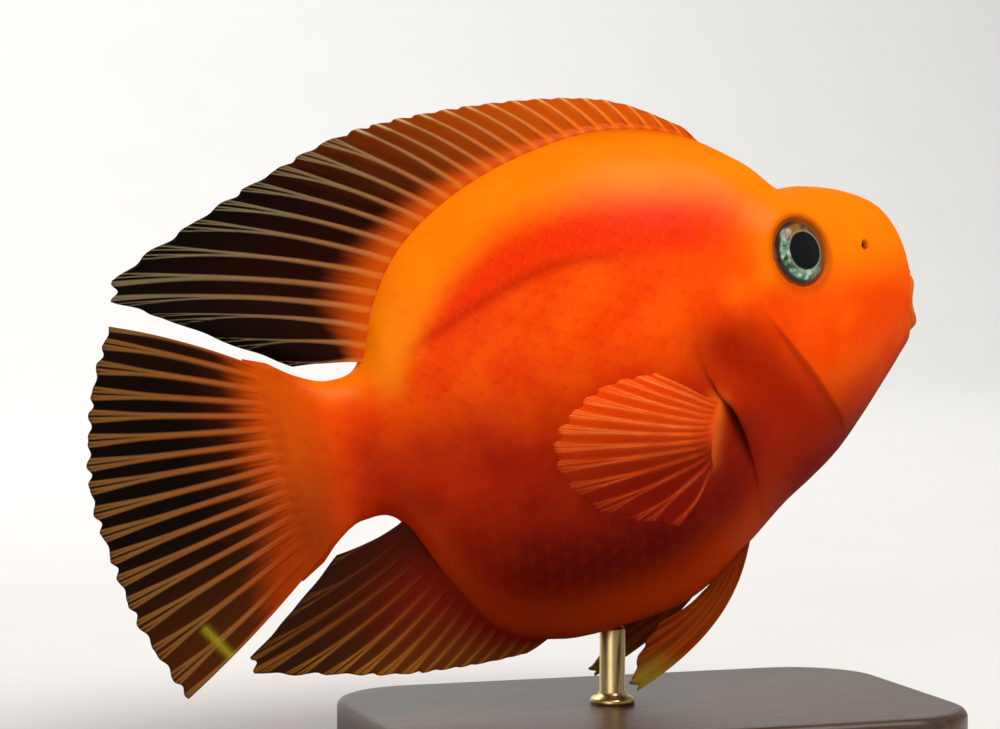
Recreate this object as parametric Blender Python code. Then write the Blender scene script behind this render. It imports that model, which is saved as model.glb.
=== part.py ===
"""A blood parrot cichlid as a life-size display model on a stand.

The fish is laid out in its own straight frame, in millimetres: back is the distance
behind the mouth, up the height above the line from mouth to tail, and side the distance
to the fish's left. placed() bends that frame sideways at the tail, pitches it nose up
and stands it over the rod, in metres.
"""

import math

import bmesh
import bpy
from mathutils import Matrix, Vector

MM = 0.001
GAP = 0.32
PLATE_GAP = 0.42
MERGE = 0.0005 * MM

# Pose
PITCH = math.radians(13.5)
BEND_START = 68.0
BEND_RADIUS = 330.0

# Rings of the body without fins: back and up of the ring's top, back and up of its
# bottom, and half its width. They fan out round the head and stand upright behind it.
RINGS = [
    (1.4, 2.6, 1.5, 0.4, 0.7),
    (-0.5, 8.4, 1.9, -5.4, 3.9),
    (-0.3, 15.8, 6.1, -9.7, 6.5),
    (3.2, 22.9, 11.7, -14.4, 10.2),
    (9.9, 27.5, 18.4, -19.8, 14.5),
    (17.9, 30.4, 25.4, -25.0, 18.1),
    (25.4, 31.9, 32.1, -28.7, 20.1),
    (32.4, 39.6, 39.4, -32.4, 21.3),
    (44.0, 47.8, 49.6, -38.8, 22.3),
    (60.0, 51.8, 62.4, -45.5, 22.5),
    (78.0, 50.4, 78.0, -47.0, 21.0),
    (93.5, 46.0, 91.5, -45.9, 17.0),
    (106.0, 39.0, 103.0, -40.4, 12.2),
    (114.2, 29.4, 111.2, -27.8, 9.0),
    (119.6, 18.8, 118.4, -13.4, 7.2),
    (126.5, 17.3, 126.0, -11.2, 5.6),
    (133.0, 19.9, 131.6, -13.2, 3.9),
    (138.6, 24.0, 136.4, -16.8, 2.3),
]
LAST_RING = float(len(RINGS) - 1)

# Bodies meet at the gill cover's edge and at the tail's root, each on a shallow cone
STALK_FROM = 121.6
NECK_CENTRE = (39.0, 2.0, 0.0)
WAIST_CENTRE = (STALK_FROM - 1.0, 3.0, 0.0)

# Shape of a ring across: how far down it is widest, and how full its back and belly are
WIDEST_AT, WIDEST_AT_FLANK = 0.5, 0.42
FULL_SNOUT, FULL_EYES, FULL_BACK, FULL_TAIL = 0.86, 0.70, 1.26, 1.12
FULL_BELLY, FULL_REAR_BELLY = 0.92, 1.10

# Rear edges of the gill cover and of the cheek in front of it: degrees down from the
# back's ridge, and the distance behind the mouth there
GILL_EDGE = [(0, 31.0), (40, 38.5), (62, 50.0), (80, 55.0), (98, 51.2), (114, 48.8), (142, 46.0), (180, 42.0)]
CHEEK_EDGE = [
    (0, 26.0), (40, 34.0), (62, 39.6), (76, 39.8), (90, 35.6),
    (106, 30.8), (124, 27.0), (152, 24.0), (180, 22.0),
]
GILL_LIFT, GILL_FROM, GILL_TO = 1.2, 40, 165
CHEEK_LIFT, CHEEK_FROM, CHEEK_TO = 0.9, 74, 150
CHEEK_STEP, PLATE_EASE = 1.0, 22

# Head features
EYE_AT = (28.8, 19.4)
EYE_RADIUS, EYE_DEPTH, EYE_SUNK = 7.6, 4.3, 2.2
EYE_RIM_RADIUS, EYE_RIM_TUBE, EYE_RIM_SUNK = 7.1, 1.1, 0.5
EYE_LEVEL = 0.07
NOSTRIL_AT = (12.6, 16.8)
NOSTRIL_RADIUS, NOSTRIL_RIM = 0.9, 0.5
NOSTRIL_ABOVE, NOSTRIL_BELOW, NOSTRIL_TAPER = 1.5, 1.1, 0.6
MOUTH_UP, MOUTH_HALF_HEIGHT, MOUTH_HALF_WIDTH = 1.7, 4.1, 3.6
MOUTH_CORNER_BACK, LOWER_LIP_BACK = 1.1, 1.7
UPPER_LIP, LOWER_LIP, CORNER_LIP = 1.8, 2.1, 1.25

# The open mouth, a funnel: distance behind the lips, and its share of their line's size
MOUTH_FUNNEL = [(-4.0, 0.74), (1.2, 0.66), (4.0, 0.54), (7.0, 0.28)]

# Fins: rays are named by count, thicknesses are half of the real ones
DORSAL_SPINES, DORSAL_SOFT = 16, 12
ANAL_SPINES, ANAL_SOFT = 7, 9
CAUDAL_RAYS = 17
PECTORAL_RAYS = 13
PELVIC_SOFT = 5
MEMBRANE = 0.27
RAY_ROOT, RAY_TIP = 0.62, 0.30
SPINE_ROOT, SPINE_TIP = 0.80, 0.28
RAY_WIDTH_ROOT, RAY_WIDTH_TIP = 0.62, 0.34
FORK_AT, FORK_SPREAD, FORK_SPLIT = 0.45, 0.24, 0.16
NARROWEST = 0.42
ROOT_FADE = 3
OUTER_ROWS_CLOSER = 0.9
SPINY_SCALLOP, CAUDAL_SCALLOP, PAIRED_SCALLOP = 0.055, 0.045, 0.03
UNPAIRED_ROWS, CAUDAL_ROWS, PAIRED_ROWS = 5, 6, 5

# Tips of the fins' rays: (number of the ray, back, up)
DORSAL_MARGIN = [
    (0, 41.0, 48.4),
    (4, 56.0, 57.4),
    (9, 80.0, 62.2),
    (15, 108.0, 63.4),
    (18, 126.0, 59.6),
    (21, 146.0, 53.4),
    (23.4, 166.0, 45.6),
    (25, 156.0, 37.6),
    (27, 131.0, 21.4),
]
ANAL_MARGIN = [
    (0, 98.4, -46.9),
    (3, 109.0, -46.0),
    (7, 124.5, -43.4),
    (10, 139.6, -38.8),
    (12.4, 157.0, -32.6),
    (13.6, 149.0, -27.4),
    (15, 132.0, -16.8),
]
CAUDAL_MARGIN = [
    (0, 169.0, 39.0),
    (3, 176.0, 27.8),
    (7, 181.2, 11.0),
    (10, 180.4, -3.0),
    (13, 178.0, -17.0),
    (16, 171.6, -33.4),
]
PECTORAL_MARGIN = [
    (0, 68.0, 5.0),
    (3, 81.0, 5.4),
    (6, 92.6, 0.0),
    (8, 95.0, -7.0),
    (10, 88.0, -17.5),
    (12, 70.0, -25.5),
]
PELVIC_MARGIN = [
    (0, 81.0, -58.4),
    (1, 82.2, -56.6),
    (2, 80.9, -55.8),
    (3, 78.8, -52.4),
    (4, 75.5, -49.5),
    (5, 71.5, -46.9),
]

# Roots of the fins: from and to, back, or back and up on the flank
DORSAL_FROM, DORSAL_TO, DORSAL_FOOT, DORSAL_SWAY = 39.0, 119.4, 1.0, 5.0
ANAL_FROM, ANAL_TO, ANAL_FOOT, ANAL_SWAY = 94.0, 118.0, 0.95, 3.0
UNPAIRED_BEND, UNPAIRED_LEAN, LAST_ROOT_LIFT = 0.06, 0.35, 0.6
CAUDAL_SPREAD, CAUDAL_FLARE, CAUDAL_THINNEST = 0.93, 2.8, 0.7
PECTORAL_TOP, PECTORAL_LOW, PECTORAL_FOOT = (55.0, -4.8), (58.8, -16.4), 1.1
PECTORAL_OUT, PECTORAL_CUP, PECTORAL_RISE, PECTORAL_BEND = 28.0, 2.0, 4.0, 0.32
PELVIC_FROM, PELVIC_TO, PELVIC_FOOT, PELVIC_ANGLE = 49.0, 60.0, 0.95, 15
PELVIC_OUT_FRONT, PELVIC_OUT_REAR = 11.5, 8.5
PELVIC_RISE_FRONT, PELVIC_RISE_REAR, PELVIC_BEND = 8.6, 1.2, 0.40
SIDEWAYS = (0.0, 0.0, 1.0)

# Stand
BASE_LENGTH, BASE_WIDTH, BASE_HEIGHT, BASE_EDGE = 120.0, 76.0, 8.0, 1.2
BASE_CORNER, BASE_SIDES, BASE_SHIFT = 18.0, 48, 8.0
ROD_RADIUS, ROD_SIDES, ROD_AT = 2.6, 16, 79.0
TIP_CLEARANCE = 4.0

# How finely the bodies are divided
HEAD_ROWS, CHEEK_ROWS, TRUNK_ROWS, STALK_ROWS = 11, 5, 20, 6
RING_SIDES = 36
EYE_SIDES, EYE_ROWS = 22, 11
EYE_RIM_SIDES, NOSTRIL_RIM_SIDES, RIM_TUBE_SIDES, NOSTRIL_SIDES = 24, 10, 6, 8
LIP_SIDES, LIP_TUBE_SIDES, MOUTH_SIDES = 24, 8, 20


def spline(points, t):
    """Catmull-Rom curve through tuples; whole values of t are the points."""
    last = len(points) - 1
    t = min(max(t, 0.0), float(last))
    i = min(int(t), last - 1)
    f = t - i
    a, b = points[max(i - 1, 0)], points[i]
    c, d = points[i + 1], points[min(i + 2, last)]
    return tuple(
        0.5 * (2 * q + (r - p) * f + (2 * p - 5 * q + 4 * r - s) * f**2 + (3 * q - p - 3 * r + s) * f**3)
        for p, q, r, s in zip(a, b, c, d)
    )


def along(points, x):
    """The second number of a table of pairs, read smoothly at the first number x."""
    last = len(points) - 1
    if x <= points[0][0]:
        return points[0][1]
    for i in range(last):
        if x <= points[i + 1][0]:
            break
    else:
        return points[last][1]
    x0, x1 = points[i][0], points[i + 1][0]
    f = (x - x0) / (x1 - x0)
    slopes = []
    for k in (i, i + 1):
        a, b = points[max(k - 1, 0)], points[min(k + 1, last)]
        slopes.append((b[1] - a[1]) / (b[0] - a[0]) * (x1 - x0))
    f2, f3 = f * f, f * f * f
    return (
        (2 * f3 - 3 * f2 + 1) * points[i][1]
        + (f3 - 2 * f2 + f) * slopes[0]
        + (3 * f2 - 2 * f3) * points[i + 1][1]
        + (f3 - f2) * slopes[1]
    )


def smooth(low, high, x):
    f = min(max((x - low) / (high - low), 0.0), 1.0)
    return f * f * (3 - 2 * f)


def mix(a, b, f):
    return a + (b - a) * f


def bent(point):
    """The straight frame bent sideways: forward x, left y, up z, in millimetres."""
    back, up, side = point
    turn = max(back - BEND_START, 0.0) / BEND_RADIUS
    reach = min(back, BEND_START) + BEND_RADIUS * math.sin(turn)
    return Vector((
        -reach - side * math.sin(turn),
        -BEND_RADIUS * (1 - math.cos(turn)) + side * math.cos(turn),
        up,
    ))


def pitched(point):
    return Matrix.Rotation(-PITCH, 3, "Y") @ bent(point)


# Surface of the body

def ring_angle(k, sides=RING_SIDES):
    """0 is the back's ridge, a quarter turn the right flank, half a turn the belly."""
    return 2 * math.pi * k / sides


def surface(t, angle, lift=0.0):
    """A point of the skin: t counts along the rings, angle goes round."""
    top_back, top_up, low_back, low_up, half = spline(RINGS, t)
    middle_back = (top_back + low_back) / 2
    half = half + lift
    flank = smooth(20, 60, middle_back) - smooth(90, 125, middle_back)
    widest = mix(WIDEST_AT, WIDEST_AT_FLANK, flank)
    ridge = mix(FULL_SNOUT, FULL_EYES, smooth(8, 26, middle_back))
    ridge = mix(ridge, FULL_BACK, smooth(30, 56, middle_back))
    ridge = mix(ridge, FULL_TAIL, smooth(95, 122, middle_back))
    keel = mix(FULL_BELLY, FULL_REAR_BELLY, smooth(85, 112, middle_back))
    rise, swell = math.cos(angle), abs(math.sin(angle))
    share = mix(widest, 1.0 if rise > 0 else 0.0, abs(rise))
    side = -math.copysign(half * swell ** (ridge if rise > 0 else keel), math.sin(angle))
    return (mix(low_back, top_back, share), mix(low_up, top_up, share), side)


def t_at(angle, back):
    """Where along the outline the skin at this angle reaches a distance behind the mouth."""
    low, high = 0.0, LAST_RING
    for _ in range(30):
        middle = (low + high) / 2
        if surface(middle, angle)[0] < back:
            low = middle
        else:
            high = middle
    return (low + high) / 2


def degrees_down(angle):
    """Degrees from the back's ridge, the same on both flanks."""
    return math.degrees(abs(math.remainder(angle, 2 * math.pi)))


def gill_back(angle):
    return along(GILL_EDGE, degrees_down(angle))


def cheek_back(angle):
    return along(CHEEK_EDGE, degrees_down(angle))


def plate_share(angle, start, end):
    """How much of a head plate's lift shows at this angle: all of it between two angles."""
    turn = degrees_down(angle)
    return smooth(start, start + PLATE_EASE, turn) * (1 - smooth(end - PLATE_EASE, end, turn))


def skin_frame(t, angle):
    """Point, outward normal and the two tangents, round and backwards, on the skin."""
    step_t, step_a = 0.02, 0.02
    here = Vector(surface(t, angle))
    backwards = (Vector(surface(t + step_t, angle)) - Vector(surface(t - step_t, angle))).normalized()
    round_it = (Vector(surface(t, angle + step_a)) - Vector(surface(t, angle - step_a))).normalized()
    normal = backwards.cross(round_it).normalized()
    if normal.dot(here - Vector((here.x, 2.0, 0.0))) < 0:
        normal.negate()
    return here, normal, round_it, backwards


def on_skin(back, up, right=True):
    """t and angle of the flank's point at this distance back and height."""
    t, angle = t_at(math.pi / 2, back), math.pi / 2
    for _ in range(30):
        here = surface(t, angle)
        miss_back, miss_up = back - here[0], up - here[1]
        along_t = [(a - b) / 0.02 for a, b in zip(surface(t + 0.01, angle), surface(t - 0.01, angle))]
        along_a = [(a - b) / 0.02 for a, b in zip(surface(t, angle + 0.01), surface(t, angle - 0.01))]
        det = along_t[0] * along_a[1] - along_t[1] * along_a[0]
        t += (miss_back * along_a[1] - miss_up * along_a[0]) / det
        angle += (miss_up * along_t[0] - miss_back * along_t[1]) / det
        angle = min(max(angle, 0.05), math.pi - 0.05)
    return (t, angle) if right else (t, 2 * math.pi - angle)


def keel_height(back):
    """Height of the belly's lowest line."""
    return surface(t_at(math.pi, back), math.pi)[1]


# Building meshes

def mesh_object(name, points, faces, finish, is_placed=False):
    """An object from straight-frame points in millimetres, placed in the world."""
    mesh = bpy.data.meshes.new(name)
    mesh.from_pydata([p if is_placed else placed(p) for p in points], [], faces)
    mesh.validate()
    made = bpy.data.objects.new(name, mesh)
    bpy.context.scene.collection.objects.link(made)
    faces_out(mesh)
    if finish:
        mesh.materials.append(finish)
    return made


def faces_out(mesh):
    work = bmesh.new()
    work.from_mesh(mesh)
    bmesh.ops.recalc_face_normals(work, faces=work.faces)
    if work.calc_volume(signed=True) < 0:
        bmesh.ops.reverse_faces(work, faces=work.faces)
    work.to_mesh(mesh)
    work.free()


def tube_of_rings(rings, front, rear):
    """Points and faces of a closed lofted body; front and rear are lists of cap rings,
    each a share of the way from the end ring to its centre, that end in the centre."""
    count = len(rings[0])
    points, faces = [], []

    def add_ring(ring):
        points.extend(ring)
        return len(points) - count

    def strip(a, b):
        for k in range(count):
            n = (k + 1) % count
            faces.append((a + k, a + n, b + n, b + k))

    def cap(start, ring, shares, centre):
        for share in shares:
            inner = add_ring([tuple(mix(p, c, share) for p, c in zip(point, centre)) for point in ring])
            strip(start, inner)
            start = inner
        points.append(centre)
        for k in range(count):
            faces.append((start + k, start + (k + 1) % count, len(points) - 1))

    starts = [add_ring(ring) for ring in rings]
    for a, b in zip(starts, starts[1:]):
        strip(a, b)
    cap(starts[0], rings[0], front[0], front[1])
    cap(starts[-1], rings[-1], rear[0], rear[1])
    return points, faces


def materials():
    def finish(name, colour, roughness, metallic=0.0):
        made = bpy.data.materials.new(name)
        made.use_nodes = True
        shader = made.node_tree.nodes["Principled BSDF"]
        shader.inputs["Base Color"].default_value = (*colour, 1.0)
        shader.inputs["Roughness"].default_value = roughness
        shader.inputs["Metallic"].default_value = metallic
        made.diffuse_color = (*colour, 1.0)
        return made

    return {
        "skin": finish("skin", (0.95, 0.20, 0.02), 0.38),
        "fin": finish("fin", (0.62, 0.20, 0.05), 0.42),
        "eye": finish("eye", (0.10, 0.16, 0.12), 0.12),
        "base": finish("stand_base", (0.05, 0.045, 0.04), 0.45),
        "rod": finish("stand_rod", (0.75, 0.60, 0.30), 0.30, 1.0),
    }


def combine(main, others, operation):
    """Joins closed objects to main, or cuts them out of it, by one Boolean, applied."""
    group = bpy.data.collections.new(main.name + "_" + operation.lower())
    bpy.context.scene.collection.children.link(group)
    for other in others:
        bpy.context.scene.collection.objects.unlink(other)
        group.objects.link(other)
    boolean = main.modifiers.new(operation, "BOOLEAN")
    boolean.operation = operation
    boolean.operand_type = "COLLECTION"
    boolean.collection = group
    boolean.solver = "EXACT"
    bpy.context.view_layer.update()
    graph = bpy.context.evaluated_depsgraph_get()
    made = bpy.data.meshes.new_from_object(main.evaluated_get(graph))
    main.modifiers.clear()
    old, main.data = main.data, made
    made.name = main.name
    bpy.data.meshes.remove(old)
    for other in others:
        bpy.data.objects.remove(other)
    bpy.data.collections.remove(group)
    keep_largest(made)


def keep_largest(mesh):
    """Leaves only the closed surface with the most volume."""
    work = bmesh.new()
    work.from_mesh(mesh)
    bmesh.ops.remove_doubles(work, verts=work.verts, dist=MERGE)
    bmesh.ops.triangulate(work, faces=work.faces)
    shells, seen = [], set()
    for start in work.faces:
        if start in seen:
            continue
        shell, stack = [], [start]
        seen.add(start)
        while stack:
            face = stack.pop()
            shell.append(face)
            for edge in face.edges:
                for other in edge.link_faces:
                    if other not in seen:
                        seen.add(other)
                        stack.append(other)
        shells.append(shell)

    def volume(shell):
        return abs(sum(f.verts[0].co.dot(f.verts[1].co.cross(f.verts[2].co)) for f in shell))

    shells.sort(key=volume, reverse=True)
    for shell in shells[1:]:
        bmesh.ops.delete(work, geom=shell, context="FACES")
    work.to_mesh(mesh)
    work.free()


# Body

def head_rings():
    """Rings from the mouth to the gill cover's edge, with a close pair at the cheek's."""
    shares = [("cheek", (i / HEAD_ROWS) ** 1.15) for i in range(HEAD_ROWS)]
    shares += [("step", 0.0), ("step", 1.0)]
    shares += [("gill", i / CHEEK_ROWS) for i in range(1, CHEEK_ROWS + 1)]
    rings = []
    for part, share in shares:
        ring = []
        for k in range(RING_SIDES):
            angle = ring_angle(k)
            cheek, gill = t_at(angle, cheek_back(angle)), t_at(angle, gill_back(angle))
            behind = t_at(angle, cheek_back(angle) + CHEEK_STEP)
            if part == "cheek":
                t, lift = mix(0.0, cheek, share), CHEEK_LIFT * smooth(0.5, 1.0, share)
            elif part == "step":
                t, lift = mix(cheek, behind, share), CHEEK_LIFT * (1 - share)
            else:
                t, lift = mix(behind, gill, share), GILL_LIFT * smooth(0.0, 0.9, share)
            limits = (GILL_FROM, GILL_TO) if part == "gill" else (CHEEK_FROM, CHEEK_TO)
            ring.append(surface(t, angle, lift * plate_share(angle, *limits)))
        rings.append(ring)
    return rings


def body_rings(start, end, rows):
    """Rings between two edges, each a function that gives t for an angle."""
    rings = []
    for i in range(rows + 1):
        angles = [ring_angle(k) for k in range(RING_SIDES)]
        rings.append([surface(mix(start(a), end(a), i / rows), a) for a in angles])
    return rings


def trunk_end(angle, gap=0.0):
    return t_at(angle, STALK_FROM + gap)


def shifted(point, back):
    return (point[0] + back, point[1], point[2])


def make_head(finish):
    rings = head_rings()
    mouth = (surface(0.0, 0.0)[0] - 0.2, MOUTH_UP, 0.0)
    points, faces = tube_of_rings(rings, ([], mouth), ([0.5], NECK_CENTRE))
    head = mesh_object("head", points, faces, finish)
    adds, cuts = [lip_ring()], [mouth_cavity()]
    for right in (True, False):
        origin, x, y, z = frame_at(EYE_AT, right, EYE_LEVEL)
        eye = (origin - z * EYE_RIM_SUNK * MM, x, y, z)
        adds.append(ring_on_skin(eye, EYE_RIM_RADIUS, EYE_RIM_TUBE, EYE_RIM_SIDES))
        nostril = frame_at(NOSTRIL_AT, right)
        radius = NOSTRIL_RADIUS + NOSTRIL_RIM / 2
        adds.append(ring_on_skin(nostril, radius, NOSTRIL_RIM, NOSTRIL_RIM_SIDES))
        cuts.append(eye_ball("socket", right, GAP, EYE_SIDES, EYE_ROWS))
        cuts.append(nostril_pit(right))
    combine(head, adds, "UNION")
    combine(head, cuts, "DIFFERENCE")
    return head


def frame_at(at, right, level=0.0):
    """Origin and axes, round, backwards and outward, of a feature on the skin, in the
    world; level turns it down from the skin's slope."""
    t, angle = on_skin(*at, right=right)
    here, normal, round_it, backwards = skin_frame(t, angle)
    normal = (normal - Vector((0.0, level, 0.0))).normalized()
    origin = placed(here)
    out = (placed(here + normal) - origin).normalized()
    across = (placed(here + backwards) - origin).normalized()
    across = (across - out * across.dot(out)).normalized()
    return origin, out.cross(across), across, out


def world_mesh(name, points, faces):
    return mesh_object(name, points, faces, None, is_placed=True)


def torus_faces(sides, tube_sides):
    faces = []
    for i in range(sides):
        a, b = i * tube_sides, (i + 1) % sides * tube_sides
        for j in range(tube_sides):
            n = (j + 1) % tube_sides
            faces.append((a + j, b + j, b + n, a + n))
    return faces


def ring_on_skin(frame, radius, tube, sides):
    """A raised rim round a feature of the head."""
    origin, x, y, z = frame
    points = []
    for i in range(sides):
        a = 2 * math.pi * i / sides
        for j in range(RIM_TUBE_SIDES):
            b = 2 * math.pi * j / RIM_TUBE_SIDES
            r = radius + tube * math.cos(b)
            local = x * (r * math.cos(a)) + y * (r * math.sin(a)) + z * (tube * math.sin(b))
            points.append(origin + local * MM)
    return world_mesh("rim", points, torus_faces(sides, RIM_TUBE_SIDES))


def eye_ball(name, right, grow, sides, rows, finish=None):
    """A flattened ball that looks outward, its poles on the eye's axis."""
    origin, x, y, z = frame_at(EYE_AT, right, EYE_LEVEL)
    centre = origin - z * EYE_SUNK * MM
    wide, deep = EYE_RADIUS + grow, EYE_DEPTH + grow
    points, faces = [centre + z * deep * MM], []
    for i in range(1, rows):
        a = math.pi * i / rows
        for k in range(sides):
            b = 2 * math.pi * k / sides
            local = (x * math.cos(b) + y * math.sin(b)) * wide * math.sin(a) + z * deep * math.cos(a)
            points.append(centre + local * MM)
    points.append(centre - z * deep * MM)
    for k in range(sides):
        n = (k + 1) % sides
        faces.append((0, 1 + k, 1 + n))
        faces.append((len(points) - 1, len(points) - 1 - sides + n, len(points) - 1 - sides + k))
        for i in range(rows - 2):
            a, b = 1 + i * sides, 1 + (i + 1) * sides
            faces.append((a + k, b + k, b + n, a + n))
    return mesh_object(name, points, faces, finish, is_placed=True)


def nostril_pit(right):
    origin, x, y, z = frame_at(NOSTRIL_AT, right)
    points, faces, sides = [], [], NOSTRIL_SIDES
    levels = ((NOSTRIL_ABOVE, NOSTRIL_RADIUS), (-NOSTRIL_BELOW, NOSTRIL_RADIUS * NOSTRIL_TAPER))
    for height, radius in levels:
        for k in range(sides):
            a = 2 * math.pi * k / sides
            points.append(origin + (x * math.cos(a) * radius + y * math.sin(a) * radius + z * height) * MM)
    for k in range(sides):
        n = (k + 1) % sides
        faces.append((k, n, sides + n, sides + k))
    faces.append(tuple(range(sides)))
    faces.append(tuple(range(2 * sides - 1, sides - 1, -1)))
    return world_mesh("pit", points, faces)


def mouth_line(angle):
    """Centre line of the lips, from the upper lip at 0 round the right corner; the
    corners sit further back than the middle of either lip."""
    up = MOUTH_UP + MOUTH_HALF_HEIGHT * math.cos(angle)
    side = -MOUTH_HALF_WIDTH * math.sin(angle)
    lower = 0.5 - 0.5 * math.cos(angle)
    return Vector((LOWER_LIP_BACK * lower + MOUTH_CORNER_BACK * math.sin(angle) ** 2, up, side))


def lip_ring():
    points = []
    for i in range(LIP_SIDES):
        angle = 2 * math.pi * i / LIP_SIDES
        centre = mouth_line(angle)
        outward = Vector((0.0, math.cos(angle), -math.sin(angle)))
        tube = mix(LOWER_LIP, UPPER_LIP, 0.5 + 0.5 * math.cos(angle))
        tube = mix(tube, CORNER_LIP, math.sin(angle) ** 4)
        for j in range(LIP_TUBE_SIDES):
            b = 2 * math.pi * j / LIP_TUBE_SIDES
            points.append(tuple(centre + outward * tube * math.cos(b) - Vector((tube, 0, 0)) * math.sin(b)))
    return mesh_object("lips", points, torus_faces(LIP_SIDES, LIP_TUBE_SIDES), None)


def mouth_cavity():
    """The open mouth: a funnel that narrows inwards."""
    sides = MOUTH_SIDES
    points, faces = [], []
    for back, share in MOUTH_FUNNEL:
        for k in range(sides):
            angle = 2 * math.pi * k / sides
            up = MOUTH_UP + MOUTH_HALF_HEIGHT * share * math.cos(angle)
            points.append((back, up, -MOUTH_HALF_WIDTH * share * math.sin(angle)))
    for i in range(len(MOUTH_FUNNEL) - 1):
        for k in range(sides):
            n = (k + 1) % sides
            faces.append((i * sides + k, i * sides + n, (i + 1) * sides + n, (i + 1) * sides + k))
    faces.append(tuple(range(sides)))
    faces.append(tuple(range(len(points) - 1, len(points) - 1 - sides, -1)))
    return mesh_object("mouth", points, faces, None)


def make_trunk(finish):
    rings = body_rings(lambda a: t_at(a, gill_back(a) + PLATE_GAP), trunk_end, TRUNK_ROWS)
    front = ([0.5], shifted(NECK_CENTRE, PLATE_GAP))
    points, faces = tube_of_rings(rings, front, ([0.5], WAIST_CENTRE))
    return mesh_object("trunk", points, faces, finish)


def make_stalk(finish):
    rings = body_rings(lambda a: trunk_end(a, GAP), lambda a: LAST_RING, STALK_ROWS)
    end = rings[-1]
    centre = tuple(sum(p[i] for p in end) / len(end) for i in range(3))
    points, faces = tube_of_rings(rings, ([0.5], shifted(WAIST_CENTRE, GAP)), ([], centre))
    return mesh_object("tail_stalk", points, faces, finish)


# Fins

class Ray:
    """One spine or soft ray: a curve from root through a bend to its tip. grip is the
    half-width direction of its root on the skin, and foot its root's half thickness."""

    def __init__(self, root, bend, tip, is_spine, grip, foot):
        self.root, self.bend, self.tip = Vector(root), Vector(bend), Vector(tip)
        self.is_spine, self.grip, self.foot = is_spine, Vector(grip), foot

    def at(self, s):
        return self.root * (1 - s) ** 2 + self.bend * 2 * s * (1 - s) + self.tip * s * s


def ray_columns(rays):
    """Columns of the fin's grid: the ray, a step to one side of it and what runs there.
    A soft ray forks into two crests, and a spine has one."""
    columns = []
    for k, ray in enumerate(rays):
        if ray.is_spine:
            parts = [(-1, "edge"), (0, "crest"), (1, "edge")]
        else:
            parts = [(-2, "edge"), (-1, "crest"), (0, "fork"), (1, "crest"), (2, "edge")]
        for step, kind in parts:
            if (k == 0 and step < 0) or (k == len(rays) - 1 and step > 0):
                continue
            columns.append((k, step, kind))
    return columns


def between(rays, place, s):
    i = min(max(int(math.floor(place)), 0), len(rays) - 2)
    f = place - i
    return rays[i].at(s) * (1 - f) + rays[i + 1].at(s) * f


def fin_point(rays, k, step, kind, s, scallop):
    """Middle of the fin at one column and share of the way out, and its half thickness."""
    ray = rays[k]
    reach = 1.0 - scallop * {"edge": 1.6 if ray.is_spine else 1.0, "fork": 0.5, "crest": 0.0}[kind]
    other = rays[min(k + 1, len(rays) - 1)] if step > 0 or k == 0 else rays[k - 1]
    pitch = max((other.at(s) - ray.at(s)).length, 1e-3)
    thick = mix(SPINE_ROOT, SPINE_TIP, s) if ray.is_spine else mix(RAY_ROOT, RAY_TIP, s)
    width = mix(RAY_WIDTH_ROOT, RAY_WIDTH_TIP, s)
    fork = 0.0 if ray.is_spine else smooth(FORK_AT, 1.0, s)
    if kind == "edge":
        offset = width if ray.is_spine else width + FORK_SPREAD * pitch * fork
        height = MEMBRANE
    elif kind == "crest":
        offset = 0.0 if ray.is_spine else mix(FORK_SPLIT, FORK_SPREAD * pitch, fork)
        height = thick
    else:
        offset = 0.0
        height = mix(thick, MEMBRANE, smooth(0.05, 0.35, fork))
    offset = min(offset, NARROWEST * pitch)
    place = k + math.copysign(offset / pitch, step) if step else float(k)
    place = min(max(place, 0.0), len(rays) - 1.0)
    return between(rays, place, s * reach), height, place


def make_fin(name, rays, rows, scallop, finish):
    columns = ray_columns(rays)
    grid, heights, places = [], [], []
    for k, step, kind in columns:
        shares = [(j / rows) ** OUTER_ROWS_CLOSER for j in range(rows + 1)]
        line = [fin_point(rays, k, step, kind, s, scallop) for s in shares]
        grid.append([p for p, _, _ in line])
        heights.append([h for _, h, _ in line])
        places.append([w for _, _, w in line])
    wide, tall = len(columns), rows + 1
    outer, inner = [], []
    for i in range(wide):
        for j in range(tall):
            out = grid[i][min(j + 1, rows)] - grid[i][max(j - 1, 0)]
            across = grid[min(i + 1, wide - 1)][j] - grid[max(i - 1, 0)][j]
            normal = out.cross(across).normalized()
            at = min(int(places[i][j]), len(rays) - 2)
            share = places[i][j] - at
            foot = mix(rays[at].foot, rays[at + 1].foot, share)
            grip = rays[at].grip * (1 - share) + rays[at + 1].grip * share
            if normal.dot(grip) < 0:
                normal.negate()
            root = (1 - j / rows) ** ROOT_FADE
            if j == 0:
                normal = grip.normalized()
            height = max(heights[i][j], foot * root)
            outer.append(grid[i][j] + normal * height)
            inner.append(grid[i][j] - normal * height)
    points = outer + inner
    faces, shift = [], len(outer)
    for i in range(wide - 1):
        for j in range(rows):
            a, b = i * tall + j, (i + 1) * tall + j
            for corners in ((a, b, b + 1), (a, b + 1, a + 1)):
                faces.append(corners)
                faces.append(tuple(c + shift for c in reversed(corners)))
    for j in range(rows):
        for i, way in ((0, 1), (wide - 1, -1)):
            a = i * tall + j
            faces.append((a, a + 1, a + 1 + shift, a + shift)[::way])
    for i in range(wide - 1):
        for j, way in ((0, -1), (rows, 1)):
            a, b = i * tall + j, (i + 1) * tall + j
            faces.append((a, b, b + shift, a + shift)[::way])
    return mesh_object(name, [tuple(p) for p in points], faces, finish)


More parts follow.
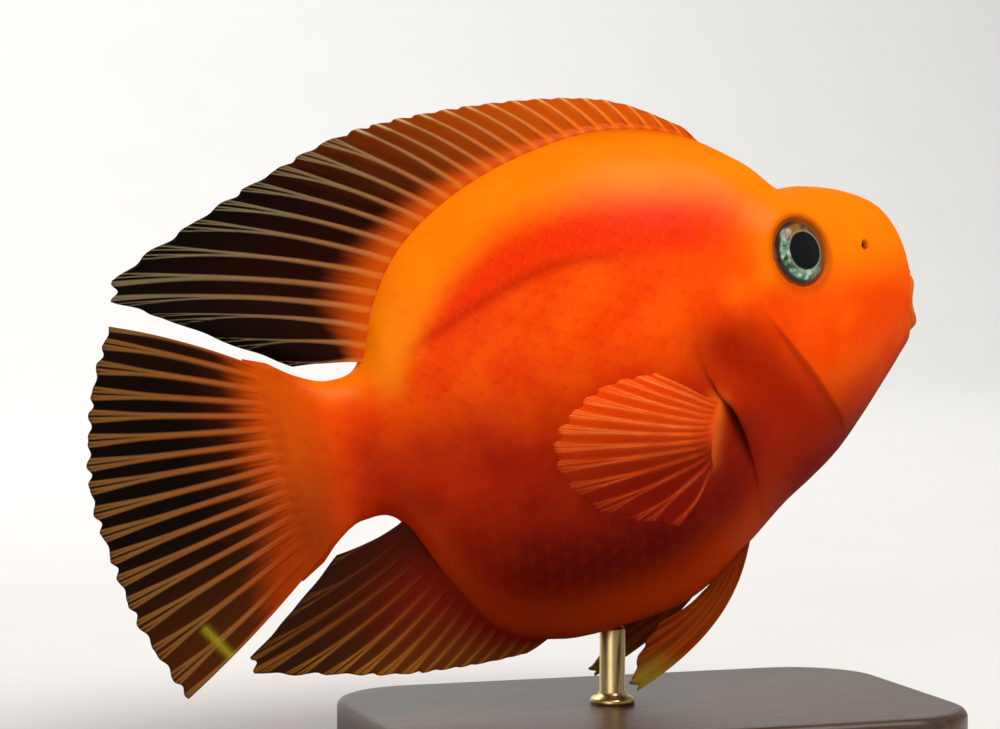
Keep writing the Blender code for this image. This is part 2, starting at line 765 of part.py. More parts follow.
def profile_root(line_angle, back, gap):
    """A point off the ridge or keel, along the profile's own normal."""
    t = t_at(line_angle, back)
    before, after = surface(t - 0.02, line_angle), surface(t + 0.02, line_angle)
    run, rise = after[0] - before[0], after[1] - before[1]
    size = math.hypot(run, rise)
    way = 1 if line_angle == 0.0 else -1
    here = surface(t, line_angle)
    return Vector((here[0] - way * rise / size * gap, here[1] + way * run / size * gap, 0.0))


def read_margin(margin, ray):
    """Tip of a ray by its number, from a short table of (ray, back, up)."""
    for i in range(len(margin) - 1):
        if ray <= margin[i + 1][0]:
            break
    f = (ray - margin[i][0]) / (margin[i + 1][0] - margin[i][0])
    return spline([row[1:] for row in margin], i + f)


def arc_steps(line_angle, start, end, count):
    """Distances back that part the ridge or keel into equal lengths."""
    fine = 200
    t0, t1 = t_at(line_angle, start), t_at(line_angle, end)
    spots = [Vector(surface(mix(t0, t1, i / fine), line_angle)) for i in range(fine + 1)]
    lengths = [0.0]
    for a, b in zip(spots, spots[1:]):
        lengths.append(lengths[-1] + (b - a).length)
    backs, i = [], 0
    for k in range(count):
        want = lengths[-1] * k / (count - 1)
        while lengths[i + 1] < want and i < fine - 1:
            i += 1
        f = (want - lengths[i]) / (lengths[i + 1] - lengths[i])
        backs.append(mix(spots[i].x, spots[i + 1].x, f))
    return backs


def unpaired_rays(margin, line_angle, reach, spines, soft, sway, foot):
    """Rays of a fin on the ridge, at angle 0, or on the keel, at half a turn."""
    rays = []
    backs = arc_steps(line_angle, *reach, spines + soft)
    for k, back in enumerate(backs):
        share = k / (spines + soft - 1)
        root = profile_root(line_angle, back, GAP * (1 + LAST_ROOT_LIFT * smooth(0.8, 1.0, share)))
        tip_back, tip_up = read_margin(margin, k)
        tip = Vector((tip_back, tip_up, sway * share**2))
        middle = (root + tip) / 2
        away = Vector((-(tip - root).y, (tip - root).x, 0.0)) * (1 if line_angle == 0.0 else -1)
        bend = middle + away * UNPAIRED_BEND
        bend.z = tip.z * UNPAIRED_LEAN
        rays.append(Ray(root, bend, tip, k < spines, SIDEWAYS, foot))
    return rays


def make_dorsal(finish):
    reach = (DORSAL_FROM, DORSAL_TO)
    rays = unpaired_rays(DORSAL_MARGIN, 0.0, reach, DORSAL_SPINES, DORSAL_SOFT, DORSAL_SWAY, DORSAL_FOOT)
    return make_fin("dorsal_fin", rays, UNPAIRED_ROWS, SPINY_SCALLOP, finish)


def make_anal(finish):
    reach = (ANAL_FROM, ANAL_TO)
    rays = unpaired_rays(ANAL_MARGIN, math.pi, reach, ANAL_SPINES, ANAL_SOFT, ANAL_SWAY, ANAL_FOOT)
    return make_fin("anal_fin", rays, UNPAIRED_ROWS, SPINY_SCALLOP, finish)


def make_caudal(finish):
    """The rays' roots stand on the stalk's end ring and are as thick as it is there."""
    rays = []
    for k in range(CAUDAL_RAYS):
        share = k / (CAUDAL_RAYS - 1)
        rise = mix(CAUDAL_SPREAD, -CAUDAL_SPREAD, share)
        angle = math.acos(rise)
        here = surface(LAST_RING, angle)
        root = Vector((here[0] + GAP, here[1], 0.0))
        tip = Vector((*read_margin(CAUDAL_MARGIN, k), 0.0))
        bend = (root + tip) / 2 + Vector((0.0, CAUDAL_FLARE * rise**3, 0.0))
        rays.append(Ray(root, bend, tip, False, SIDEWAYS, max(abs(here[2]), CAUDAL_THINNEST)))
    return make_fin("caudal_fin", rays, CAUDAL_ROWS, CAUDAL_SCALLOP, finish)


def make_pectoral(right, finish):
    """A fan off the flank behind the gill cover, swept back and standing out from it."""
    name = "pectoral_fin_right" if right else "pectoral_fin_left"
    top, low = Vector(PECTORAL_TOP), Vector(PECTORAL_LOW)
    out = -1.0 if right else 1.0
    rays = []
    for k in range(PECTORAL_RAYS):
        share = k / (PECTORAL_RAYS - 1)
        base = top.lerp(low, share)
        here, normal, _, backwards = skin_frame(*on_skin(base.x, base.y, right))
        root = here + normal * GAP
        tip_back, tip_up = read_margin(PECTORAL_MARGIN, k)
        reach = PECTORAL_OUT + PECTORAL_CUP * math.sin(math.pi * share)
        tip = Vector((tip_back, tip_up, out * reach))
        bend = root + normal * PECTORAL_RISE + (tip - root) * PECTORAL_BEND
        rays.append(Ray(root, bend, tip, False, -backwards, PECTORAL_FOOT))
    return make_fin(name, rays, PAIRED_ROWS, PAIRED_SCALLOP, finish)


def make_pelvic(right, finish):
    """One spine and five rays under the belly, swept back, a little splayed."""
    name = "pelvic_fin_right" if right else "pelvic_fin_left"
    out = -1.0 if right else 1.0
    rays = []
    for k in range(PELVIC_SOFT + 1):
        share = k / PELVIC_SOFT
        angle = math.pi + out * math.radians(PELVIC_ANGLE)
        t = t_at(angle, mix(PELVIC_FROM, PELVIC_TO, share))
        here, normal, round_it, _ = skin_frame(t, angle)
        root = here + normal * GAP
        tip_back, tip_up = read_margin(PELVIC_MARGIN, k)
        tip = Vector((tip_back, tip_up, out * mix(PELVIC_OUT_FRONT, PELVIC_OUT_REAR, share)))
        rise = mix(PELVIC_RISE_FRONT, PELVIC_RISE_REAR, share)
        bend = root + normal * rise + (tip - root) * PELVIC_BEND
        grip = round_it if round_it.z > 0 else -round_it
        rays.append(Ray(root, bend, tip, k == 0, grip, PELVIC_FOOT))
    return make_fin(name, rays, PAIRED_ROWS, PAIRED_SCALLOP, finish)


# Stand

def make_base(finish):
    """A plate with straight sides and round corners, its upper edge eased."""
    sides, corner = BASE_SIDES, BASE_CORNER
    outline = []
    for k in range(sides):
        angle = 2 * math.pi * (k + 0.5) / sides
        x = math.copysign(BASE_LENGTH / 2 - corner, math.cos(angle)) + corner * math.cos(angle)
        y = math.copysign(BASE_WIDTH / 2 - corner, math.sin(angle)) + corner * math.sin(angle)
        outline.append((x, y))
    levels = [(0.0, 0.0), (0.0, BASE_HEIGHT - BASE_EDGE)]
    levels.append((BASE_EDGE * 0.35, BASE_HEIGHT - BASE_EDGE * 0.3))
    levels.append((BASE_EDGE, BASE_HEIGHT))
    points, faces = [], []
    for inset, height in levels:
        for x, y in outline:
            shrink_x, shrink_y = 1 - 2 * inset / BASE_LENGTH, 1 - 2 * inset / BASE_WIDTH
            points.append(Vector((x * shrink_x + BASE_SHIFT, y * shrink_y, height)) * MM)
    for i in range(len(levels) - 1):
        for k in range(sides):
            n = (k + 1) % sides
            faces.append((i * sides + k, i * sides + n, (i + 1) * sides + n, (i + 1) * sides + k))
    faces.append(tuple(range(sides - 1, -1, -1)))
    faces.append(tuple(range(len(points) - sides, len(points))))
    return mesh_object("stand_base", points, faces, finish, is_placed=True)


def belly_under(x, y):
    """World height of the belly above a spot of the base, found down the keel's slope."""
    back = ROD_AT
    for _ in range(12):
        spot = placed((back, keel_height(back), 0.0)) / MM
        back -= (x - spot.x) / math.cos(PITCH) * 0.9
    t = t_at(math.pi, back)
    low, high = math.pi / 2, math.pi
    for _ in range(30):
        middle = (low + high) / 2
        if abs(surface(t, middle)[2]) > abs(y):
            low = middle
        else:
            high = middle
    return (placed((back, surface(t, high)[1], y)) / MM).z


def make_rod(finish):
    sides = ROD_SIDES
    rings = [(ROD_RADIUS, BASE_HEIGHT + GAP), (ROD_RADIUS, None), (ROD_RADIUS * 0.5, None)]
    points, faces = [], []
    for radius, height in rings:
        for k in range(sides):
            angle = 2 * math.pi * k / sides
            x, y = radius * math.cos(angle), radius * math.sin(angle)
            z = height if height is not None else belly_under(x, y) - GAP
            points.append(Vector((x, y, z)) * MM)
    for i in range(len(rings) - 1):
        for k in range(sides):
            n = (k + 1) % sides
            faces.append((i * sides + k, i * sides + n, (i + 1) * sides + n, (i + 1) * sides + k))
    faces.append(tuple(range(sides - 1, -1, -1)))
    last = (len(rings) - 1) * sides
    points.append(Vector((0.0, 0.0, belly_under(0.0, 0.0) - GAP)) * MM)
    for k in range(sides):
        faces.append((last + k, last + (k + 1) % sides, len(points) - 1))
    return mesh_object("stand_rod", points, faces, finish, is_placed=True)


def standing_place():
    """Where the mouth stands, so that the belly is over the rod and the lowest fin tip
    clears the base."""
    belly = pitched((ROD_AT, keel_height(ROD_AT), 0.0))
    pelvic = [pitched((back, up, PELVIC_OUT_FRONT)).z for _, back, up in PELVIC_MARGIN]
    caudal = [pitched((back, up, 0.0)).z for _, back, up in CAUDAL_MARGIN]
    lowest = min(pelvic + caudal)
    return Vector((-belly.x, -belly.y, BASE_HEIGHT + TIP_CLEARANCE - lowest))


def placed(point):
    return (pitched(point) + MOUTH_AT) * MM


MOUTH_AT = standing_place()


def clear_scene():
    for old in list(bpy.data.objects):
        bpy.data.objects.remove(old)


def main():
    clear_scene()
    finish = materials()
    make_head(finish["skin"])
    make_trunk(finish["skin"])
    make_stalk(finish["skin"])
    make_dorsal(finish["fin"])
    make_anal(finish["fin"])
    make_caudal(finish["fin"])
    for right in (True, False):
        make_pectoral(right, finish["fin"])
        make_pelvic(right, finish["fin"])
        eye_ball("eye_right" if right else "eye_left", right, 0.0, EYE_SIDES, EYE_ROWS, finish["eye"])
    make_base(finish["base"])
    make_rod(finish["rod"])


main()
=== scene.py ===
"""Looks of the blood parrot cichlid model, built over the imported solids.

The straight frame is the one of the solids, in millimetres: back is the distance behind
the mouth, up the height above the line from mouth to tail, and side the distance to the
fish's left. placed() turns it into metres in the row frame. Points are numpy arrays.
"""

import math

import bmesh
import bpy
import numpy as np
from mathutils import Matrix, Vector


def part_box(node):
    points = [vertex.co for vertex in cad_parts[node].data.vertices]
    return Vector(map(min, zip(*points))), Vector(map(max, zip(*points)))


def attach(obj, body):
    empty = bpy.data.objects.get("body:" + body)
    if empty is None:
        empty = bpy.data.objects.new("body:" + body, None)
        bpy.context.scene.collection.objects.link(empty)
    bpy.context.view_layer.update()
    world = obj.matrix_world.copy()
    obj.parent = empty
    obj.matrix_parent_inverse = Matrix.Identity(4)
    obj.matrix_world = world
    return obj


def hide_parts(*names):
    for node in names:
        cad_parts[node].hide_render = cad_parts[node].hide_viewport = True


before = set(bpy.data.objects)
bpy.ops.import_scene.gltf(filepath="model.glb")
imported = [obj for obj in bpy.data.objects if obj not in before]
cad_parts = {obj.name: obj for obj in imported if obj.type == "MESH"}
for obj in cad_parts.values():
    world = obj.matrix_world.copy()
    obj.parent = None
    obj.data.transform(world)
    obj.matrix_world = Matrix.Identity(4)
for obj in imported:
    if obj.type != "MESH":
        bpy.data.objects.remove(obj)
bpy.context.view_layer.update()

MM = 0.001
PITCH = math.radians(13.5)
BEND_START, BEND_RADIUS = 68.0, 330.0

# Rings of the body: back and up of the top, back and up of the bottom, half width
RINGS = np.array([
    (1.4, 2.6, 1.5, 0.4, 0.7),
    (-0.5, 8.4, 1.9, -5.4, 3.9),
    (-0.3, 15.8, 6.1, -9.7, 6.5),
    (3.2, 22.9, 11.7, -14.4, 10.2),
    (9.9, 27.5, 18.4, -19.8, 14.5),
    (17.9, 30.4, 25.4, -25.0, 18.1),
    (25.4, 31.9, 32.1, -28.7, 20.1),
    (32.4, 39.6, 39.4, -32.4, 21.3),
    (44.0, 47.8, 49.6, -38.8, 22.3),
    (60.0, 51.8, 62.4, -45.5, 22.5),
    (78.0, 50.4, 78.0, -47.0, 21.0),
    (93.5, 46.0, 91.5, -45.9, 17.0),
    (106.0, 39.0, 103.0, -40.4, 12.2),
    (114.2, 29.4, 111.2, -27.8, 9.0),
    (119.6, 18.8, 118.4, -13.4, 7.2),
    (126.5, 17.3, 126.0, -11.2, 5.6),
    (133.0, 19.9, 131.6, -13.2, 3.9),
    (138.6, 24.0, 136.4, -16.8, 2.3),
])
LAST_RING = len(RINGS) - 1.0
STALK_FROM = 121.6

# Head plates: degrees down from the back's ridge and the distance behind the mouth
GILL_EDGE = [
    (0, 31.0), (40, 38.5), (62, 50.0), (80, 55.0), (98, 51.2), (114, 48.8), (142, 46.0), (180, 42.0)
]
CHEEK_EDGE = [
    (0, 26.0), (40, 34.0), (62, 39.6), (76, 39.8), (90, 35.6), (106, 30.8), (124, 27.0), (152, 24.0),
    (180, 22.0),
]
GILL_LIFT, GILL_FROM, GILL_TO = 1.2, 40, 165
CHEEK_LIFT, CHEEK_FROM, CHEEK_TO = 0.9, 74, 150
FLAP_LENGTH, CHEEK_GAP, CHEEK_DROP = 3.2, 1.0, 0.25

EYE_AT, EYE_RADIUS, EYE_DEPTH, EYE_SUNK = (28.8, 19.4), 7.6, 4.3, 2.2
PUPIL, IRIS = 3.85, 6.35
NOSTRIL_AT = (12.6, 16.8)
MOUTH_UP, MOUTH_HALF_HEIGHT, MOUTH_HALF_WIDTH = 1.7, 4.1, 3.6
MOUTH_CORNER_BACK, LOWER_LIP_BACK, MOUTH_DEPTH = 1.1, 1.7, 7.0
UPPER_LIP, LOWER_LIP, CORNER_LIP = 1.8, 2.1, 1.25

# How full the section is: powers of the sine above and below its widest place
FULL_SNOUT, FULL_EYES, FULL_BACK, FULL_TAIL = 0.86, 0.70, 1.26, 1.12
FULL_BELLY, FULL_REAR_BELLY = 0.92, 1.10
RIDGE, KEEL = 0.0, math.pi

# Skin grid: columns round the body, and rows of each stretch from mouth to tail
SKIN_COLUMNS = 288
MOUTH_ROWS, FACE_ROWS, CHEEK_ROWS, GILL_ROWS, TRUNK_ROWS, STALK_ROWS, TAIL_ROWS = 44, 88, 6, 34, 112, 22, 8
SCALE_SIZE, SCALE_OVERLAP, SCALE_RELIEF = 4.1, 0.78, 0.05
EYE_LEVEL, PUPIL_FLAT, FLESH_ON_TAIL = 0.12, 0.20, 5.5

# Fins: counts of rays, and margins as rows of ray number, back and up
DORSAL_SPINES, DORSAL_SOFT, ANAL_SPINES, ANAL_SOFT = 16, 12, 7, 9
CAUDAL_RAYS, PECTORAL_RAYS, PELVIC_SOFT = 17, 13, 5
DORSAL_ROOT, DORSAL_SWAY = (39.0, 119.4), 5.0
ANAL_ROOT, ANAL_SWAY = (94.0, 118.0), 3.0
CAUDAL_RISE, CAUDAL_BEND = 0.93, 2.8
DORSAL_MARGIN = [
    (0, 41.0, 48.4), (4, 56.0, 57.4), (9, 80.0, 62.2), (15, 108.0, 63.4), (18, 126.0, 59.6),
    (21, 146.0, 53.4), (23.4, 166.0, 45.6), (25, 156.0, 37.6), (27, 131.0, 21.4),
]
ANAL_MARGIN = [
    (0, 98.4, -46.9), (3, 109.0, -46.0), (7, 124.5, -43.4), (10, 139.6, -38.8), (12.4, 157.0, -32.6),
    (13.6, 149.0, -27.4), (15, 132.0, -16.8),
]
CAUDAL_MARGIN = [
    (0, 169.0, 39.0), (3, 176.0, 27.8), (7, 181.2, 11.0), (10, 180.4, -3.0), (13, 178.0, -17.0),
    (16, 171.6, -33.4),
]
PECTORAL_MARGIN = [
    (0, 68.0, 5.0), (3, 81.0, 5.4), (6, 92.6, 0.0), (8, 95.0, -7.0), (10, 88.0, -17.5), (12, 70.0, -25.5),
]
PELVIC_MARGIN = [
    (0, 81.0, -58.4), (1, 82.2, -56.6), (2, 80.9, -55.8), (3, 78.8, -52.4), (4, 75.5, -49.5),
    (5, 71.5, -46.9),
]
PECTORAL_ROOT = np.array(((55.0, -4.8), (58.8, -16.4)))
PECTORAL_OUT, PECTORAL_CUP, PECTORAL_RISE, PECTORAL_BEND = 28.0, 2.0, 4.0, 0.32
PELVIC_FROM, PELVIC_TO, PELVIC_ANGLE = 49.0, 60.0, 15
PELVIC_OUT_FRONT, PELVIC_OUT_REAR = 11.5, 8.5
PELVIC_RISE_FRONT, PELVIC_RISE_REAR, PELVIC_BEND = 8.6, 1.2, 0.40
ROOT_GAP = 0.32

# Sheet of a fin: half thicknesses, widths of the rays at root and tip, and their forks
MEMBRANE, SIDEWAYS = 0.24, np.array((0.0, 0.0, 1.0))
RAY_ROOT, RAY_TIP, SPINE_ROOT, SPINE_TIP = 0.62, 0.26, 0.80, 0.24
SOFT_WIDTHS, SPINE_WIDTHS, FORKED_WIDTH = (0.60, 0.30), (0.78, 0.30), 0.66
FORK_AT, SECOND_FORK_AT, FORK_SPREAD, SECOND_FORK_SPREAD = 0.42, 0.70, 0.165, 0.075

# Stand: the base's edge as rows of inset and height, the rod's foot as width and height
BASE_LENGTH, BASE_WIDTH, BASE_CORNER, BASE_AHEAD, BASE_SIDES = 120.0, 76.0, 18.0, 8.0, 96
BASE_EDGE = [(0.5, 0.0), (0.0, 0.5), (0.0, 6.4), (0.18, 7.0), (0.6, 7.6), (1.3, 7.92), (2.2, 8.0)]
ROD_FOOT, ROD_SIDES = [(1.75, 8.0), (1.75, 8.9), (1.6, 9.4), (1.18, 9.8), (1.0, 10.6)], 40

# Studio: half the floor's width in metres, and the camera and its aim from the mouth
FLOOR_REACH, LENS, SENSOR_WIDTH = 12.0, 115.2, 36.0
CAMERA_FROM_MOUTH = (-287.565, -608.575, 23.185)
AIM_FROM_MOUTH = (-90.065, -0.733, -10.310)


def smooth(low, high, x):
    f = np.clip((x - low) / (high - low), 0.0, 1.0)
    return f * f * (3 - 2 * f)


def fade(low, high, x):
    return 1 - smooth(low, high, x)


def band(low, full, still_full, end, x):
    """Rises from 0 to 1 and falls back to 0."""
    return smooth(low, full, x) * fade(still_full, end, x)


def mix(a, b, f):
    return a + (b - a) * f


def bell(x, width):
    return np.exp(-((x / width) ** 2))


def spline(points, t):
    """Catmull-Rom curve through the rows of an array, read at any shape of t."""
    points, t = np.asarray(points, float), np.asarray(t, float)
    last = len(points) - 1
    t = np.clip(t, 0.0, last)
    i = np.minimum(t.astype(int), last - 1)
    f = (t - i).reshape(t.shape + (1,) * (points.ndim - 1))
    a, b = points[np.maximum(i - 1, 0)], points[i]
    c, d = points[i + 1], points[np.minimum(i + 2, last)]
    return 0.5 * (2 * b + (c - a) * f + (2 * a - 5 * b + 4 * c - d) * f**2 + (3 * b - a - 3 * c + d) * f**3)


def along(pairs, x):
    """The second number of a table of pairs, read smoothly at the first number x."""
    xs, ys = np.asarray(pairs, float).T
    before = np.maximum(np.arange(len(xs)) - 1, 0)
    after = np.minimum(np.arange(len(xs)) + 1, len(xs) - 1)
    slopes = (ys[after] - ys[before]) / (xs[after] - xs[before])
    x = np.clip(x, xs[0], xs[-1])
    i = np.clip(np.searchsorted(xs, x, side="right") - 1, 0, len(xs) - 2)
    step = xs[i + 1] - xs[i]
    f = (x - xs[i]) / step
    return (
        (2 * f**3 - 3 * f**2 + 1) * ys[i]
        + (f**3 - 2 * f**2 + f) * slopes[i] * step
        + (3 * f**2 - 2 * f**3) * ys[i + 1]
        + (f**3 - f**2) * slopes[i + 1] * step
    )


def point(back, up, side):
    return np.stack(np.broadcast_arrays(back, up, side), -1).astype(float)


def unit(v):
    return v / np.maximum(np.linalg.norm(v, axis=-1, keepdims=True), 1e-9)


# Straight frame to row frame

def pitched(p):
    back, up, side = p[..., 0], p[..., 1], p[..., 2]
    turn = np.maximum(back - BEND_START, 0.0) / BEND_RADIUS
    reach = np.minimum(back, BEND_START) + BEND_RADIUS * np.sin(turn)
    x = -reach - side * np.sin(turn)
    y = -BEND_RADIUS * (1 - np.cos(turn)) + side * np.cos(turn)
    return np.stack((x * np.cos(PITCH) - up * np.sin(PITCH), y, x * np.sin(PITCH) + up * np.cos(PITCH)), -1)


def surface(t, angle, lift=0.0):
    """The body's surface: t counts along the rings, angle is 0 at the back's ridge and a
    quarter turn on the right flank."""
    t, angle = np.broadcast_arrays(np.asarray(t, float), np.asarray(angle, float))
    top_back, top_up, low_back, low_up, half = np.moveaxis(spline(RINGS, t), -1, 0)
    middle_back = (top_back + low_back) / 2
    half = half + lift
    widest = 0.5 - 0.08 * smooth(20, 60, middle_back) + 0.08 * smooth(90, 125, middle_back)
    ridge = mix(FULL_SNOUT, FULL_EYES, smooth(8, 26, middle_back))
    ridge = mix(ridge, FULL_BACK, smooth(30, 56, middle_back))
    ridge = mix(ridge, FULL_TAIL, smooth(95, 122, middle_back))
    keel = mix(FULL_BELLY, FULL_REAR_BELLY, smooth(85, 112, middle_back))
    rise, swell = np.cos(angle), np.abs(np.sin(angle))
    share = mix(widest, np.where(rise > 0, 1.0, 0.0), np.abs(rise))
    side = -np.sign(np.sin(angle)) * half * swell ** np.where(rise > 0, ridge, keel)
    return point(mix(low_back, top_back, share), mix(low_up, top_up, share), side)


def t_at(angle, back):
    """Where along the rings the surface at this angle reaches a distance behind the mouth."""
    angle, back = np.broadcast_arrays(np.asarray(angle, float), np.asarray(back, float))
    low, high = np.zeros(angle.shape), np.full(angle.shape, LAST_RING)
    for _ in range(30):
        middle = (low + high) / 2
        short = surface(middle, angle)[..., 0] < back
        low, high = np.where(short, middle, low), np.where(short, high, middle)
    return (low + high) / 2


def degrees_down(angle):
    return np.degrees(np.abs(np.remainder(angle + math.pi, 2 * math.pi) - math.pi))


def plate_share(angle, start, end):
    return band(start, start + 22, end - 22, end, degrees_down(angle))


def skin_frame(t, angle):
    """Point, outward normal, and the tangents round and backwards."""
    here = surface(t, angle)
    backwards = unit(surface(t + 0.02, angle) - surface(t - 0.02, angle))
    round_it = unit(surface(t, angle + 0.02) - surface(t, angle - 0.02))
    normal = unit(np.cross(backwards, round_it))
    outward = here - point(here[..., 0], 2.0, 0.0)
    normal = normal * np.where(np.sum(normal * outward, -1, keepdims=True) < 0, -1.0, 1.0)
    return here, normal, round_it, backwards


def on_skin(back, up, right=True):
    """t and angle of the flank's point at this distance back and height."""
    t, angle = float(t_at(math.pi / 2, back)), math.pi / 2
    for _ in range(30):
        here = surface(t, angle)
        miss_back, miss_up = back - here[0], up - here[1]
        along_t = (surface(t + 0.01, angle) - surface(t - 0.01, angle)) / 0.02
        along_a = (surface(t, angle + 0.01) - surface(t, angle - 0.01)) / 0.02
        det = along_t[0] * along_a[1] - along_t[1] * along_a[0]
        t += (miss_back * along_a[1] - miss_up * along_a[0]) / det
        angle += (miss_up * along_t[0] - miss_back * along_t[1]) / det
        angle = min(max(angle, 0.05), math.pi - 0.05)
    return (t, angle) if right else (t, 2 * math.pi - angle)


BASE_HEIGHT, TIP_CLEARANCE, ROD_AT, ROD_RADIUS = 8.0, 4.0, 79.0, 2.6
BELLY = pitched(surface(t_at(KEEL, ROD_AT), KEEL))
LOWEST = pitched(point(*PELVIC_MARGIN[0][1:], PELVIC_OUT_FRONT))[2]
MOUTH_AT = np.array((-BELLY[0], -BELLY[1], BASE_HEIGHT + TIP_CLEARANCE - LOWEST))


def placed(p):
    return (pitched(p) + MOUTH_AT) * MM


# Meshes

def grid_faces(rows, columns, is_closed, start=0):
    """Corner numbers of the quads of a grid of points, row by row."""
    wide = columns if is_closed else columns - 1
    j, k = np.meshgrid(np.arange(rows - 1), np.arange(wide), indexing="ij")
    n = (k + 1) % columns
    corners = np.stack((j * columns + k, j * columns + n, (j + 1) * columns + n, (j + 1) * columns + k), -1)
    return corners.reshape(-1, 4) + start


def grid_uv(rows, columns, is_closed, low=0.0, high=1.0):
    """Map places of the same quads, between two shares of the map's width."""
    wide = columns if is_closed else columns - 1
    j, k = np.meshgrid(np.arange(rows - 1), np.arange(wide), indexing="ij")
    u0, u1 = mix(low, high, k / wide), mix(low, high, (k + 1) / wide)
    v0, v1 = j / (rows - 1), (j + 1) / (rows - 1)
    return np.stack((u0, v0, u1, v0, u1, v1, u0, v1), -1).reshape(-1, 8)


def face_outward(mesh):
    """Turns all faces of a closed mesh round if they look inward."""
    held = bmesh.new()
    held.from_mesh(mesh)
    if held.calc_volume(signed=True) < 0:
        bmesh.ops.reverse_faces(held, faces=held.faces)
        held.to_mesh(mesh)
    held.free()


def add_object(name, data):
    made = bpy.data.objects.new(name, data)
    bpy.context.scene.collection.objects.link(made)
    return made


def piece(name, points, faces, uv, values, material, slot_name, nodes):
    """A shown mesh in the row frame. values are named numbers, one for each point."""
    mesh = bpy.data.meshes.new(name)
    mesh.from_pydata(points.reshape(-1, 3).tolist(), [], [tuple(f) for f in faces])
    layer = mesh.uv_layers.new(name="OFBake")
    layer.data.foreach_set("uv", np.concatenate([np.ravel(row) for row in uv]).astype(np.float32))
    mesh.polygons.foreach_set("use_smooth", np.ones(len(mesh.polygons), bool))
    for key, numbers in values.items():
        held = mesh.attributes.new(key, "FLOAT", "POINT")
        held.data.foreach_set("value", np.ascontiguousarray(numbers, np.float32).ravel())
    mesh.materials.append(material)
    face_outward(mesh)
    mesh.update()
    made = add_object(name, mesh)
    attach(made, "root")
    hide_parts(*nodes)
    return made


def closed_piece(name, rings, middles, values, material, slot_name, nodes):
    """A piece from a grid of rings in metres, closed by a fan round a middle point at each
    end. The middles have the first and the last value of the grid."""
    rows, columns = rings.shape[:2]
    faces, uv = list(grid_faces(rows, columns, True)), [grid_uv(rows, columns, True)]
    for end, first in enumerate((0, (rows - 1) * columns)):
        for k in range(columns):
            a, b = (k, k + 1) if end else (k + 1, k)
            faces.append((first + a % columns, first + b % columns, rows * columns + end))
            uv.append(np.array((a / columns, end, b / columns, end, (k + 0.5) / columns, end)))
    points = np.vstack((rings.reshape(-1, 3), middles))
    ended = {key: np.append(v, (np.ravel(v)[0], np.ravel(v)[-1])) for key, v in values.items()}
    return piece(name, points, faces, uv, ended, material, slot_name, nodes)


def grid_normals(p, is_closed):
    """Unit normals of a grid of points, shape (rows, columns, 3)."""
    down = np.gradient(p, axis=0)
    if is_closed:
        across = (np.roll(p, -1, 1) - np.roll(p, 1, 1)) / 2
    else:
        across = np.gradient(p, axis=1)
    return unit(np.cross(down, across))


# Materials

class Paint:
    """A node material being built. Each method adds nodes and gives back their output. A
    string stands for the mesh's value of that name, and colour is what is painted so far."""

    def __init__(self, name, **inputs):
        self.material = bpy.data.materials.new(name)
        self.material.use_nodes = True
        self.tree = self.material.node_tree
        self.shader = self.tree.nodes["Principled BSDF"]
        self.colour = None
        self.fill(**inputs)

    def fill(self, **inputs):
        """Sets or links the shader's inputs, with an underscore for each blank in a name."""
        for key, value in inputs.items():
            self.put(value, self.shader.inputs[key.replace("_", " ")])

    def put(self, value, socket):
        if isinstance(value, str):
            value = self.node("ShaderNodeAttribute", output="Fac", attribute_name=value)
        if isinstance(value, bpy.types.NodeSocket):
            self.tree.links.new(value, socket)
        elif isinstance(value, tuple):
            socket.default_value = (*value, 1.0)[: len(socket.default_value)]
        else:
            socket.default_value = value

    def node(self, kind, inputs=(), output=0, **settings):
        made = self.tree.nodes.new(kind)
        for key, setting in settings.items():
            setattr(made, key, setting)
        for key, value in inputs:
            self.put(value, made.inputs[key])
        return made.outputs[output]

    def math(self, operation, a, b=0.0, c=0.0):
        return self.node("ShaderNodeMath", ((0, a), (1, b), (2, c)), operation=operation)

    def times(self, product, *factors):
        for factor in factors:
            product = self.math("MULTIPLY", product, factor)
        return product

    def plus(self, x, factor, base):
        """x times a factor, plus a base."""
        return self.math("MULTIPLY_ADD", x, factor, base)

    def less(self, a, b):
        return self.math("SUBTRACT", a, b)

    def step(self, low, high, x):
        """Rises smoothly from 0 to 1 as x goes from low to high."""
        inputs = (("Value", x), ("From Min", low), ("From Max", high))
        return self.node("ShaderNodeMapRange", inputs, interpolation_type="SMOOTHSTEP")

    def fade(self, low, high, x):
        return self.less(1.0, self.step(low, high, x))

    def mix(self, a, b, share):
        return self.node("ShaderNodeMix", ((0, share), (6, a), (7, b)), 2, data_type="RGBA")

    def over(self, tone, *shares):
        """Lays a tone over the colour so far, as strongly as the product of the shares."""
        self.colour = self.mix(self.colour, tone, self.times(*shares))

    def place(self, stretch=(1.0, 1.0, 1.0)):
        where = self.node("ShaderNodeTexCoord", output="Object")
        return self.node("ShaderNodeMapping", (("Vector", where), ("Scale", stretch)))

    def noise(self, size, detail=3.0, where=None, rough=0.5):
        """Noise with features of about this size in millimetres, from 0 to 1."""
        inputs = [("Vector", where or self.place()), ("Scale", 1000.0 / size)]
        return self.node("ShaderNodeTexNoise", inputs + [("Detail", detail), ("Roughness", rough)])

    def join(self, x, y):
        return self.node("ShaderNodeCombineXYZ", (("X", x), ("Y", y)))

    def bump(self, height, distance, strength, under=None):
        inputs = [("Height", height), ("Distance", distance * MM), ("Strength", strength)]
        if under:
            inputs.append(("Normal", under))
        return self.node("ShaderNodeBump", inputs)

    def finish(self, **inputs):
        self.fill(Base_Color=self.colour, **inputs)
        return self.material


